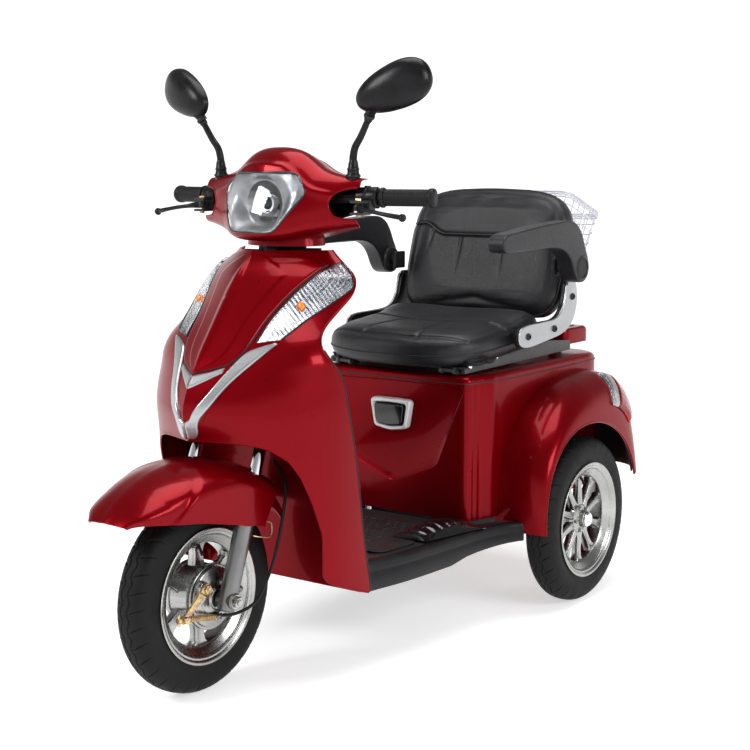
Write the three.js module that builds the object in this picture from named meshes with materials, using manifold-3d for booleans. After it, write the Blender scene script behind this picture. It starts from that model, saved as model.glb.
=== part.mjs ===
// A three-wheel electric mobility scooter, in millimetres: +Z up, front of the vehicle towards -Y,
// the rider's left towards +X, origin on the ground under the centre of the bounding box.
import * as THREE from "three";
import { mergeVertices } from "three/addons/utils/BufferGeometryUtils.js";
import Module from "manifold-3d";

const wasm = await Module();
wasm.setup();

// ---------------------------------------------------------------- driving dimensions
const TYRE_R = 202; // 3.00-10 tyre
const TYRE_HALF_W = 38;
const RIM_R = 141; // outside of the rim flange
const FRONT_AXLE_Y = -590;
const REAR_AXLE_Y = 431;
const REAR_TRACK_HALF = 317;
const RAKE = THREE.MathUtils.degToRad(20);
const FORK_X = 85; // centre of each fork leg
const STANCHION_R = 13;
const SLIDER_R = 19;
const CROWN_S = 348; // distance of the fork crown from the axle, along the steering axis
const BAR_S = 838; // the same for the handlebar
const BODY_HALF_W = 235;
const BODY_FRONT_Y = 100;
const BODY_REAR_Y = 720;
const BODY_TOP_Z = 580;
const FLOOR_Z = 236;
const SHELL_T = 3.5;
const GAP = 0.5; // between pieces that touch
const SEAT_RECLINE = THREE.MathUtils.degToRad(16);
const BASKET_TILT = THREE.MathUtils.degToRad(19.7);

// ---------------------------------------------------------------- materials
const paint = (name, color, roughness, metalness) =>
  new THREE.MeshStandardMaterial({ name, color, roughness, metalness });
const RED = paint("red_paint", 0xa30a18, 0.25, 0.3);
const BLACK = paint("black_plastic", 0x17181a, 0.55, 0);
const RUBBER = paint("rubber", 0x141414, 0.9, 0);
const ALLOY = paint("cast_alloy", 0xc9c9c6, 0.3, 1);
const SILVER = paint("silver_trim", 0xb9bcc0, 0.35, 0.8);
const STEEL = paint("black_steel", 0x1d1d1f, 0.5, 0.6);
const FORK = paint("fork_grey", 0x8e8f91, 0.3, 0.9);
const CLEAR = paint("clear_lens", 0xe6ecf2, 0.1, 0);
const CHROME = paint("chrome", 0xdfe2e6, 0.08, 1);
const LEATHER = paint("black_leather", 0x1b1c1e, 0.5, 0);
const WHITE = paint("white_wire", 0xe4e4ee, 0.4, 0.2);
const ZINC = paint("zinc_plate", 0xc9a45a, 0.4, 0.8);

// ---------------------------------------------------------------- solids
const V = (x, y, z) => new THREE.Vector3(x, y, z);
const clamp01 = (t) => Math.min(1, Math.max(0, t));
const { lerp } = THREE.MathUtils;

// A closed geometry as a manifold-3d solid.
function solid(geometry) {
  const g = geometry.clone();
  for (const name of Object.keys(g.attributes)) if (name !== "position") g.deleteAttribute(name);
  const m = mergeVertices(g, 1e-3);
  return new wasm.Manifold(
    new wasm.Mesh({
      numProp: 3,
      vertProperties: new Float32Array(m.attributes.position.array),
      triVerts: new Uint32Array(m.index.array),
    }),
  );
}

// A manifold-3d solid as a geometry.
function geometryOf(made) {
  const mesh = made.getMesh();
  const g = new THREE.BufferGeometry();
  const count = mesh.numProp;
  const position = new Float32Array(mesh.numVert * 3);
  for (let i = 0; i < mesh.numVert; i++) {
    position.set(mesh.vertProperties.subarray(i * count, i * count + 3), i * 3);
  }
  g.setAttribute("position", new THREE.BufferAttribute(position, 3));
  g.setIndex(new THREE.BufferAttribute(new Uint32Array(mesh.triVerts), 1));
  g.computeVertexNormals();
  return g;
}

const join = (...solids) => solids.reduce((a, b) => a.add(b));
const cut = (from, ...tools) => tools.reduce((a, b) => a.subtract(b), from);

function box(x0, x1, y0, y1, z0, z1) {
  const g = new THREE.BoxGeometry(x1 - x0, y1 - y0, z1 - z0);
  return solid(g.translate((x0 + x1) / 2, (y0 + y1) / 2, (z0 + z1) / 2));
}

// A round bar or cone from point a to point b.
function rod(a, b, radius, sides = 16, radiusEnd = radius) {
  const d = b.clone().sub(a);
  const g = new THREE.CylinderGeometry(radiusEnd, radius, d.length(), sides);
  g.applyQuaternion(new THREE.Quaternion().setFromUnitVectors(V(0, 1, 0), d.clone().normalize()));
  const mid = a.clone().add(b).multiplyScalar(0.5);
  return solid(g.translate(mid.x, mid.y, mid.z));
}

// A bar through points that run along X, with rings square to X.
function barLoft(points, radius, sides) {
  const position = [];
  for (const p of points) {
    for (let i = 0; i < sides; i++) {
      const a = (2 * Math.PI * i) / sides;
      position.push(p.x, p.y + radius * Math.cos(a), p.z + radius * Math.sin(a));
    }
  }
  const index = [];
  for (let j = 0; j + 1 < points.length; j++) {
    for (let i = 0; i < sides; i++) {
      const a = j * sides + i;
      const b = j * sides + ((i + 1) % sides);
      index.push(a, b, b + sides, a, b + sides, a + sides);
    }
  }
  const last = (points.length - 1) * sides;
  for (let i = 1; i + 1 < sides; i++) {
    index.push(0, i + 1, i);
    index.push(last, last + i, last + i + 1);
  }
  const g = new THREE.BufferGeometry();
  g.setAttribute("position", new THREE.BufferAttribute(new Float32Array(position), 3));
  g.setIndex(index);
  return solid(g);
}

function ball(centre, radius, sides = 12) {
  const g = new THREE.SphereGeometry(radius, sides, Math.ceil(sides * 0.6));
  return solid(g.translate(centre.x, centre.y, centre.z));
}

// A bar of round section along a smooth line through the points.
function tube(points, radius, sides = 10, steps = 24) {
  const section = new THREE.Shape();
  for (let i = 0; i < sides; i++) {
    const a = (2 * Math.PI * i) / sides;
    const at = [radius * Math.cos(a), radius * Math.sin(a)];
    if (i) section.lineTo(...at);
    else section.moveTo(...at);
  }
  const extrudePath = new THREE.CatmullRomCurve3(points, false, "catmullrom", 0.5);
  return solid(new THREE.ExtrudeGeometry(section, { steps, bevelEnabled: false, extrudePath }));
}

// A profile of [radius, along] points turned about the X axis through (0, y, z); the profile runs
// towards +X on its outside.
function turnedX(profile, y, z, x = 0, sides = 28) {
  const g = new THREE.LatheGeometry(
    profile.map(([r, along]) => new THREE.Vector2(r, along)),
    sides,
  );
  g.rotateZ(-Math.PI / 2);
  g.rotateX(Math.PI / 2);
  return solid(g.translate(x, y, z));
}

// An outline of [y, z] points as a plate between two X values.
function plateX(outline, x0, x1) {
  const shape = new THREE.Shape(outline.map(([y, z]) => new THREE.Vector2(y, z)));
  const g = new THREE.ExtrudeGeometry(shape, { depth: x1 - x0, bevelEnabled: false });
  g.rotateX(Math.PI / 2);
  g.rotateZ(Math.PI / 2);
  return solid(g.translate(x0, 0, 0));
}

// An outline of [x, z] points as a plate between two Y values.
function plateY(outline, y0, y1) {
  const shape = new THREE.Shape(outline.map(([x, z]) => new THREE.Vector2(x, z)));
  const g = new THREE.ExtrudeGeometry(shape, { depth: y1 - y0, bevelEnabled: false });
  g.rotateX(Math.PI / 2);
  return solid(g.translate(0, y1, 0));
}

// An outline of [x, y] points as a plate between two Z values.
function plateZ(outline, z0, z1) {
  const shape = new THREE.Shape(outline.map(([x, y]) => new THREE.Vector2(x, y)));
  const g = new THREE.ExtrudeGeometry(shape, { depth: z1 - z0, bevelEnabled: false });
  return solid(g.translate(0, 0, z0));
}

// A sheet of even thickness: at(u, v) gives a surface for u and v from 0 to 1, and the sheet
// lies between `outer` and `outer - thickness` along its outward normal, which is du x dv.
function sheet(at, nu, nv, thickness, outer = 0) {
  const h = 1e-3;
  const layer = (offset) => {
    const rows = [];
    for (let j = 0; j <= nv; j++) {
      for (let i = 0; i <= nu; i++) {
        const u = i / nu;
        const v = j / nv;
        const du = at(Math.min(1, u + h), v).sub(at(Math.max(0, u - h), v));
        const dv = at(u, Math.min(1, v + h)).sub(at(u, Math.max(0, v - h)));
        rows.push(at(u, v).add(du.cross(dv).normalize().multiplyScalar(offset)));
      }
    }
    return rows;
  };
  const points = [...layer(outer), ...layer(outer - thickness)];
  const half = (nu + 1) * (nv + 1);
  const index = [];
  const quad = (a, b, c, d) => index.push(a, b, c, a, c, d);
  const id = (i, j) => j * (nu + 1) + i;
  for (let j = 0; j < nv; j++) {
    for (let i = 0; i < nu; i++) {
      quad(id(i, j), id(i + 1, j), id(i + 1, j + 1), id(i, j + 1));
      quad(half + id(i, j), half + id(i, j + 1), half + id(i + 1, j + 1), half + id(i + 1, j));
    }
  }
  for (let i = 0; i < nu; i++) {
    quad(id(i + 1, 0), id(i, 0), half + id(i, 0), half + id(i + 1, 0));
    quad(id(i, nv), id(i + 1, nv), half + id(i + 1, nv), half + id(i, nv));
  }
  for (let j = 0; j < nv; j++) {
    quad(id(0, j), id(0, j + 1), half + id(0, j + 1), half + id(0, j));
    quad(id(nu, j + 1), id(nu, j), half + id(nu, j), half + id(nu, j + 1));
  }
  const g = new THREE.BufferGeometry();
  const flat = new Float32Array(points.flatMap((p) => [p.x, p.y, p.z]));
  g.setAttribute("position", new THREE.BufferAttribute(flat, 3));
  g.setIndex(index);
  return solid(g);
}

// A straight-line table of [key, value...] rows, read at a key.
function table(rows, key, column = 1) {
  const first = rows[0];
  const last = rows[rows.length - 1];
  if (key <= first[0]) return first[column];
  if (key >= last[0]) return last[column];
  const i = rows.findIndex((r) => r[0] > key);
  const t = (key - rows[i - 1][0]) / (rows[i][0] - rows[i - 1][0]);
  return rows[i - 1][column] * (1 - t) + rows[i][column] * t;
}

// The same table read through a smooth curve.
function smooth(rows, key, column = 1) {
  const w = 12;
  const taps = [-2, -1, 0, 1, 2];
  return taps.reduce((sum, t) => sum + table(rows, key + t * w, column), 0) / taps.length;
}

function bezier(p, t) {
  const s = 1 - t;
  const k = [s * s * s, 3 * s * s * t, 3 * s * t * t, t * t * t];
  return [0, 1].map((c) => p.reduce((sum, q, i) => sum + k[i] * q[c], 0));
}

const mirrored = (outline) => [...outline, ...outline.map(([x, z]) => [-x, z]).reverse()];

// ---------------------------------------------------------------- scene
const scooter = new THREE.Group();
function add(name, made, material) {
  const mesh = new THREE.Mesh(geometryOf(made), material);
  mesh.name = name;
  scooter.add(mesh);
}
const SIDES = [
  ["left", 1],
  ["right", -1],
];

// A point on the steering axis, s along it from the front axle, with offsets to the side and
// square to the axis, backwards.
const onSteering = (s, x = 0, back = 0) =>
  V(
    x,
    FRONT_AXLE_Y + s * Math.sin(RAKE) + back * Math.cos(RAKE),
    TYRE_R + s * Math.cos(RAKE) - back * Math.sin(RAKE),
  );

// A block square to the steering axis.
function steeringBlock(s0, s1, halfX, back0, back1) {
  const g = new THREE.BoxGeometry(2 * halfX, back1 - back0, s1 - s0);
  g.translate(0, (back0 + back1) / 2, (s0 + s1) / 2);
  g.rotateX(-RAKE);
  return solid(g.translate(0, FRONT_AXLE_Y, TYRE_R));
}

// ---------------------------------------------------------------- wheels
const TYRE_BEAD_R = 126;
function tyre(x, y) {
  const steps = 4;
  const outside = [];
  for (let i = 0; i <= steps; i++) {
    const a = Math.PI * (i / steps);
    const flat = Math.sign(Math.cos(a)) * Math.abs(Math.cos(a)) ** 0.8;
    outside.push([TYRE_R - 44 + 44 * Math.sin(a) ** 0.75, -TYRE_HALF_W * flat]);
  }
  const profile = [
    [TYRE_BEAD_R, -30],
    [RIM_R + 3, -35],
    ...outside,
    [RIM_R + 3, 35],
    [TYRE_BEAD_R, 30],
    [TYRE_BEAD_R, -30],
  ];
  return turnedX(profile, y, TYRE_R, x, 24);
}

function rimBarrel(x, y) {
  const profile = [
    [106, -20],
    [106, 20],
    [RIM_R - 8, 39],
    [RIM_R, 38],
    [TYRE_BEAD_R - 1, 31],
    [TYRE_BEAD_R - 1, -31],
    [RIM_R, -38],
    [RIM_R - 8, -39],
    [106, -20],
  ].reverse();
  return turnedX(profile, y, TYRE_R, x, 24);
}

// Straight spokes from the hub to the barrel, turned about the wheel's axle.
function spokes(count, x, y, x0, x1, halfW, reach) {
  const made = [];
  for (let i = 0; i < count; i++) {
    const a = (2 * Math.PI * i) / count;
    const g = new THREE.BoxGeometry(x1 - x0, 2 * halfW, reach - 20);
    g.translate((x0 + x1) / 2, 0, (reach + 20) / 2);
    g.rotateX(a);
    made.push(solid(g.translate(x, y, TYRE_R)));
  }
  return made;
}

const AXLE_R = 6;
const HUB_DRUM_R = 66;
const SPOKE_REACH = 108.5; // into the barrel, whose inside is at radius 106
function frontRim() {
  const hub = turnedX(
    [
      [AXLE_R + GAP, -40],
      [24, -40],
      [30, -32],
      [HUB_DRUM_R, -26],
      [HUB_DRUM_R, 44],
      [60, 44],
      [60, 34],
      [AXLE_R + GAP, 34],
      [AXLE_R + GAP, -40],
    ],
    FRONT_AXLE_Y,
    TYRE_R,
    0,
    16,
  );
  const arms = spokes(6, 0, FRONT_AXLE_Y, -14, 10, 15, SPOKE_REACH);
  const middle = rod(V(-60, FRONT_AXLE_Y, TYRE_R), V(60, FRONT_AXLE_Y, TYRE_R), 40, 12);
  return join(rimBarrel(0, FRONT_AXLE_Y), cut(join(...arms), middle), hub);
}

// side is +1 on the left; the dish of the spokes faces outwards.
function rearRim(side) {
  const x = side * REAR_TRACK_HALF;
  const hub = turnedX(
    [
      [0, -40],
      [40, -40],
      [40, 4],
      [30, 14],
      [17, 18],
      [17, 30],
      [0, 32],
    ],
    REAR_AXLE_Y,
    TYRE_R,
    0,
    12,
  );
  const arms = spokes(10, 0, REAR_AXLE_Y, -8, 12, 9, SPOKE_REACH);
  const made = join(rimBarrel(0, REAR_AXLE_Y), ...arms, hub);
  return (side > 0 ? made : made.mirror([1, 0, 0])).translate([x, 0, 0]);
}

add("front_tyre", tyre(0, FRONT_AXLE_Y), RUBBER);
add("front_rim", frontRim(), ALLOY);
for (const [side, sign] of SIDES) {
  add(`rear_tyre_${side}`, tyre(sign * REAR_TRACK_HALF, REAR_AXLE_Y), RUBBER);
  add(`rear_rim_${side}`, rearRim(sign), ALLOY);
}

// ---------------------------------------------------------------- front fork and steering
const AXLE_END_X = 112;
const axleAt = (x) => V(x, FRONT_AXLE_Y, TYRE_R);
const axleLine = (half, radius) => rod(axleAt(-half), axleAt(half), radius, 10);

function slider(x) {
  const body = join(
    rod(onSteering(-22, x), onSteering(238, x), SLIDER_R, 12),
    rod(onSteering(228, x), onSteering(244, x), SLIDER_R + 2.5, 12),
  );
  const bore = rod(onSteering(70, x), onSteering(260, x), STANCHION_R + 1.2, 12);
  return cut(body, bore, axleLine(130, AXLE_R + GAP));
}
add("fork_slider_left", slider(FORK_X), FORK);
add("fork_slider_right", slider(-FORK_X), FORK);

const axleNut = (sign) =>
  rod(axleAt(sign * (FORK_X + SLIDER_R + GAP)), axleAt(sign * AXLE_END_X), 11, 6);
add("front_axle", join(axleLine(AXLE_END_X + 4, AXLE_R), axleNut(1), axleNut(-1)), STEEL);

const stem = rod(onSteering(CROWN_S), onSteering(BAR_S - 16), 14, 12);
const crown = steeringBlock(CROWN_S, CROWN_S + 24, FORK_X + 21, -22, 22);
const stanchions = SIDES.map(([, s]) =>
  rod(onSteering(112, s * FORK_X), onSteering(CROWN_S + 30, s * FORK_X), STANCHION_R, 12),
);
const barClamp = cut(
  steeringBlock(BAR_S - 30, BAR_S + 22, 28, -22, 22),
  rod(onSteering(BAR_S, -60), onSteering(BAR_S, 60), 12.6, 10),
);
add("steering_stem", join(stem, crown, barClamp, ...stanchions), STEEL);

// The brake plate closes the drum on the left; the axle goes through it.
const PLATE_X = [45, 58];
const brakePlate = cut(
  join(
    rod(axleAt(PLATE_X[0]), axleAt(PLATE_X[0] + 5), 62, 20),
    rod(axleAt(PLATE_X[0] + 4), axleAt(PLATE_X[1]), 56, 20, 30),
    box(50, 62, -578, -552, 172, 184),
  ),
  axleLine(130, AXLE_R + GAP),
);
const CAM = V(0, -634, 232);
const camAt = (x) => V(x, CAM.y, CAM.z);
add("brake_plate", cut(brakePlate, rod(camAt(40), camAt(75), 6.6, 8)), ALLOY);

// The arm turns on the cam spindle and pulls on the cable's end.
const ARM_TIP = V(70, -700, 186);
add(
  "brake_arm",
  join(
    rod(camAt(47), camAt(78), 5.8, 8),
    rod(camAt(66), camAt(72), 12, 10),
    rod(camAt(69), V(69, ARM_TIP.y, ARM_TIP.z), 6.5, 8, 5),
    rod(V(64, ARM_TIP.y, ARM_TIP.z), V(80, ARM_TIP.y, ARM_TIP.z), 7, 10),
  ),
  ZINC,
);

// The cable's sheath runs from the plate's stop up behind the left leg to the crown.
const CABLE = [
  [64, -590, 166],
  [76, -556, 164],
  [98, -524, 182],
  [116, -500, 236],
  [124, -480, 300],
  [124, -462, 360],
  [118, -446, 410],
  [102, -440, 440],
  [82, -440, 460],
];
const CABLE_R = 3.2;
add("brake_cable", tube(CABLE.map((p) => V(...p)), CABLE_R, 8, 14), RUBBER);

// The fender: a crown over the tyre that grows towards its tip, with ears that cover the legs.
// phi is the angle above the forward horizontal, seen from the axle.
const FENDER = [
  // phi, crest radius, half width, lower edge radius
  [38, 316, 62, 300],
  [44, 311, 84, 271],
  [52, 304, 92, 231],
  [60, 296, 98, 205],
  [72, 286, 105, 177],
  [84, 279, 110, 161],
  [100, 274, 114, 152],
  [118, 270, 114, 160],
  [121, 269, 74, 205],
  [135, 266, 66, 226],
  [150, 262, 56, 238],
];
const FENDER_PHI = [FENDER[0][0], FENDER[FENDER.length - 1][0]];
const CROWN_SHARE = 0.62; // of the half width, the rest being the skirt
function fenderAt(u, v) {
  const phi = lerp(...FENDER_PHI, v);
  const crest = table(FENDER, phi, 1);
  const halfW = table(FENDER, phi, 2);
  const low = table(FENDER, phi, 3);
  const side = 2 * u - 1;
  const across = Math.min(1, Math.abs(side) / CROWN_SHARE);
  const down = clamp01((Math.abs(side) - CROWN_SHARE) / (1 - CROWN_SHARE));
  const shoulder = crest - Math.min(46, 0.6 * (crest - low));
  const x = Math.sign(side) * halfW * Math.sin((across * Math.PI) / 2) ** 0.9;
  const crown = shoulder + (crest - shoulder) * Math.cos((across * Math.PI) / 2);
  const r = down > 0 ? lerp(shoulder, low, down) : crown;
  const a = THREE.MathUtils.degToRad(phi);
  return V(x, FRONT_AXLE_Y - r * Math.cos(a), TYRE_R + r * Math.sin(a));
}
const fenderHoles = SIDES.map(([, s]) =>
  rod(onSteering(150, s * FORK_X), onSteering(330, s * FORK_X), SLIDER_R + 4.5, 12),
);
add("front_fender", cut(sheet(fenderAt, 8, 11, 3, 0), ...fenderHoles), RED);

// ---------------------------------------------------------------- handlebar
// Rows: x, then y and z of the bar's centre line.
const BAR = [
  [0, -303, 989.5],
  [90, -303, 989.5],
  [160, -294, 992],
  [234, -278, 994],
  [340, -249, 994],
];
const barAt = (x) => V(x, table(BAR, Math.abs(x), 1), table(BAR, Math.abs(x), 2));
const BAR_R = 11;
const barLine = [...BAR.slice(1).map(([x]) => -x).reverse(), ...BAR.map(([x]) => x)].map(barAt);
add("handlebar", barLoft(barLine, BAR_R, 10), STEEL);

function grip(sign) {
  const at = (x) => barAt(sign * x);
  const tip = V(sign * 348, -246.5, 994);
  const body = join(rod(at(237), tip, 17, 10), rod(at(237), at(244), 20.5, 10));
  return cut(body, rod(at(235), at(340).lerp(tip, 0.7), BAR_R + GAP + 0.7, 10));
}
add("grip_left", grip(1), RUBBER);
add("throttle_grip", grip(-1), RUBBER);

const LEVER_PIVOT = V(212, -322, 974);
for (const [side, sign] of SIDES) {
  const at = (x, y, z) => V(sign * x, y, z);
  const leverAt = (up) => at(LEVER_PIVOT.x, LEVER_PIVOT.y, LEVER_PIVOT.z + up);
  const pod = cut(
    join(
      rod(barAt(sign * 188), barAt(sign * 233), 22, 12),
      box(sign * 212 - 16, sign * 212 + 16, -333, -284, 959, 989),
    ),
    rod(barAt(sign * 161), barAt(sign * 234), BAR_R + 1.2, 10),
    rod(leverAt(-34), leverAt(36), 4.6, 8),
    box(sign * 218 - 30, sign * 218 + 30, -350, -307, 965, 983),
  );
  add(`control_pod_${side}`, pod, BLACK);
  const blade = tube(
    [leverAt(0), at(236, -340, 971), at(285, -346, 964), at(328, -337, 957)],
    5,
    6,
    5,
  );
  const pivot = rod(leverAt(-13), leverAt(13), 4, 8);
  const boss = rod(leverAt(-6), leverAt(6), 9, 10);
  add(`brake_lever_${side}`, join(blade, pivot, boss, ball(at(330, -337, 957), 8, 8)), BLACK);
}

// ---------------------------------------------------------------- mirrors
const MIRROR_BASE = V(179, -295, 1036);
const MIRROR_NECK = V(222, -302, 1150);
const MIRROR_C = V(276, -290, 1212);
for (const [side, sign] of SIDES) {
  const at = (p) => V(sign * p.x, p.y, p.z);
  const bend = V(180, -296, 1082);
  add(
    `mirror_arm_${side}`,
    join(
      rod(at(MIRROR_BASE), at(bend), 12, 10, 8),
      rod(at(bend), at(MIRROR_NECK), 7, 8, 6),
      ball(at(MIRROR_NECK), 8, 8),
    ),
    BLACK,
  );
  // The head is the front half of a leaning egg; its flat back holds the glass and faces the rider.
  const g = new THREE.SphereGeometry(1, 14, 7);
  g.scale(83, 34, 54);
  g.rotateY(-sign * 0.38);
  const half = cut(solid(g), box(-120, 120, 2, 80, -120, 120)).rotate([0, 0, sign * 16]);
  const head = half.translate([sign * MIRROR_C.x, MIRROR_C.y, MIRROR_C.z]);
  const socket = rod(at(V(226, -303, 1156)), at(V(246, -313, 1186)), 9, 10, 13);
  add(`mirror_head_${side}`, cut(join(head, socket), ball(at(MIRROR_NECK), 9.6, 8)), BLACK);
}

// ---------------------------------------------------------------- handlebar cowl and headlight
// Rows: half span x, then y and z of five points from the underside round the front to the back.
const COWL = [
  [0, [-296, 904], [-412, 916], [-372, 1052], [-316, 1096], [-246, 1076]],
  [55, [-292, 904], [-402, 918], [-360, 1050], [-314, 1088], [-246, 1070]],
  [110, [-286, 912], [-366, 930], [-352, 1014], [-312, 1052], [-250, 1044]],
  [160, [-286, 924], [-338, 938], [-334, 1006], [-306, 1036], [-256, 1034]],
  [205, [-286, 934], [-316, 942], [-316, 1002], [-300, 1030], [-262, 1030]],
];
function cowlAt(u, v) {
  const x = (2 * u - 1) * 205;
  const cols = [1, 2, 3, 4, 5].map((c) => {
    const part = (k) => table(COWL.map((r) => [r[0], r[c][k]]), Math.abs(x));
    return V(x, part(0), part(1));
  });
  return new THREE.CatmullRomCurve3(cols, false, "centripetal").getPoint(v);
}
const HEADLIGHT = [
  [56, 922],
  [109, 1006],
  [79, 1045],
];
const outlineOf = (points, grow) =>
  mirrored(points).map(([x, z]) => {
    const d = new THREE.Vector2(x, z - 985);
    const k = 1 + grow / d.length();
    return [x * k, 985 + (z - 985) * k];
  });
const headlightHole = plateY(outlineOf(HEADLIGHT, 0), -460, -335);
const cowlSkin = sheet(cowlAt, 8, 7, 3);
const mirrorHoles = SIDES.map(([, s]) => rod(V(s * 179, -295, 1010), V(s * 179, -295, 1060), 13.8, 8));
const neck = sheet(
  (u, v) => {
    const a = Math.PI * (1 - 2 * u) * 0.62;
    const k = lerp(1, 0.94, v);
    return V(88 * k * Math.sin(a), -292 - 66 * k * Math.cos(a), 892 + 30 * v);
  },
  8,
  1,
  3,
);
const stemHole = rod(onSteering(690), onSteering(800), 21, 10);
// The open mouth in each end of the cowl, where the pod and the lever come out.
const WING_MOUTH = [
  [150, 982],
  [158, 960],
  [180, 949],
  [232, 948],
  [232, 1013],
  [182, 1012],
  [160, 1003],
];
const wingMouth = plateY(WING_MOUTH, -350, -290);
add(
  "handlebar_cowl",
  cut(
    join(cowlSkin, neck),
    headlightHole,
    stemHole,
    wingMouth,
    wingMouth.mirror([1, 0, 0]),
    ...mirrorHoles,
  ),
  RED,
);
add(
  "headlight_lens",
  sheet(cowlAt, 8, 7, 3, 1).intersect(plateY(outlineOf(HEADLIGHT, -1.2), -460, -335)),
  CLEAR,
);
add(
  "headlight_reflector",
  sheet(cowlAt, 8, 7, 3, -14).intersect(plateY(outlineOf(HEADLIGHT, -4), -460, -320)),
  CHROME,
);
const dashAt = (u, v) => {
  const x = (2 * u - 1) * 172;
  const part = (c, k) => table(COWL.map((r) => [r[0], r[c][k]]), Math.abs(x));
  const y = lerp(part(5, 0), part(1, 0), v) + 1;
  return V(x, y, lerp(part(5, 1) - 8, part(1, 1) + 30, v));
};
add("dash_panel", sheet(dashAt, 8, 1, 3, -1), BLACK);

// ---------------------------------------------------------------- leg shield
// Rows: height, then the plan section there: centre line y, slope of the middle, half width,
// y of the rear edge, and how far in and forward of that edge the section starts to turn.
const SHIELD = [
  [170, -550, 0.4, 218, -290, 0, 220],
  [300, -570, 0.4, 222, -322, 0, 210],
  [441, -590, 0.42, 225, -346, 0, 190],
  [526, -606, 0.45, 228, -368, 0, 150],
  [560, -622, 0.45, 228, -378, 0, 135],
  [600, -618, 0.45, 228, -387, 0, 120],
  [652, -588, 0.45, 225, -402, 5, 90],
  [690, -556, 0.45, 212, -440, 15, 60],
  [720, -534, 0.45, 188, -430, 25, 50],
  [760, -505, 0.45, 190, -372, 30, 50],
  [816, -463, 0.45, 208, -305, 30, 45],
  [857, -428, 0.45, 168, -300, 28, 35],
  [885, -388, 0.3, 104, -284, 8, 45],
];
const SHIELD_TOP_Z = 885;
const SHIELD_BOTTOM_Z = 170;
function shieldAt(u, v) {
  const z = lerp(SHIELD_BOTTOM_Z, SHIELD_TOP_Z, v);
  const columns = [1, 2, 3, 4, 5, 6];
  const [centre, slope, halfW, edge, inset, turn] = columns.map((c) => smooth(SHIELD, z, c));
  const side = 2 * u - 1;
  const [x, y] = bezier(
    [
      [0, centre],
      [0.5 * halfW, centre + slope * 0.5 * halfW],
      [halfW - inset, edge - turn],
      [halfW, edge],
    ],
    Math.abs(side),
  );
  return V(Math.sign(side) * x, y, z);
}
// The wheel arch in the side view; below it the leg's lower edge falls towards the rear.
const ARCH = [
  [-760, 100],
  [-284, 100],
  [-284, 168],
  [-330, 181],
  [-395, 206],
  [-418, 218],
  [-428, 234],
  [-437, 322],
  [-462, 391],
  [-484, 442],
  [-504, 478],
  [-531, 504],
  [-555, 514],
  [-600, 518],
  [-760, 518],
];
const arch = plateX(ARCH, -260, 260);
add("leg_shield", cut(sheet(shieldAt, 12, 15, SHELL_T), arch), RED);

// Trim that lies on the shield, from an outline seen from the front.
const onShield = (outline, low, high) =>
  sheet(shieldAt, 12, 15, high - low, high).intersect(plateY(outline, -760, -262));
const NOSE_PANEL = [
  [0, 651],
  [56, 667],
  [81, 697],
  [90, 748],
  [108, 799],
  [130, 840],
  [140, 858],
  [104, 872],
  [50, 881],
  [0, 882],
];
add("nose_panel", onShield(mirrored(NOSE_PANEL), 0.6, 4), RED);
const V_TRIM = [
  [0, 522],
  [19, 522],
  [28, 556],
  [49, 587],
  [80, 639],
  [118, 687],
  [134, 706],
  [92, 700],
  [84, 692],
  [60, 652],
  [42, 616],
  [17, 577],
  [0, 558],
];
add("v_trim", onShield(mirrored(V_TRIM), 0.6, 4.6), SILVER);
const CHEVRON = [
  [0, 620],
  [55, 652],
  [56, 663],
  [0, 647],
];
add("chevron_trim", onShield(mirrored(CHEVRON), 0.6, 3), SILVER);
const TURN_LENS = [
  [152, 860],
  [178, 846],
  [199, 820],
  [177, 780],
  [156, 752],
  [139, 715],
  [93, 708],
  [97, 750],
  [115, 800],
  [136, 840],
];
for (const [side, sign] of SIDES) {
  const outline = TURN_LENS.map(([x, z]) => [sign * x, z]);
  add(`turn_lens_${side}`, onShield(sign > 0 ? outline.reverse() : outline, 0.6, 5), CLEAR);
}

// The black panel that closes the shield towards the rider, round the head tube.
const INNER_BULGE = [
  [210, 76],
  [300, 76],
  [441, 60],
  [600, 50],
  [690, 92],
  [760, 40],
  [816, 16],
  [880, 6],
];
function innerAt(u, v) {
  const z = lerp(SHIELD_TOP_Z - 6, FLOOR_Z - 2, v);
  const side = 2 * u - 1;
  const x = side * (smooth(SHIELD, z, 3) - 4);
  return V(x, smooth(SHIELD, z, 4) + 6 + smooth(INNER_BULGE, z) * (1 - side * side), z);
}
add("inner_panel", sheet(innerAt, 6, 10, 3, 1), BLACK);
const SPLASH = [
  [-392, 520],
  [-362, 440],
  [-336, 340],
  [-322, 250],
  [-312, 172],
  [-308.5, 172],
  [-318.5, 251],
  [-332.5, 341],
  [-358.5, 441],
  [-388.5, 521],
];
add("splash_guard", plateX(SPLASH.reverse(), -208, 208), RED);

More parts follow.
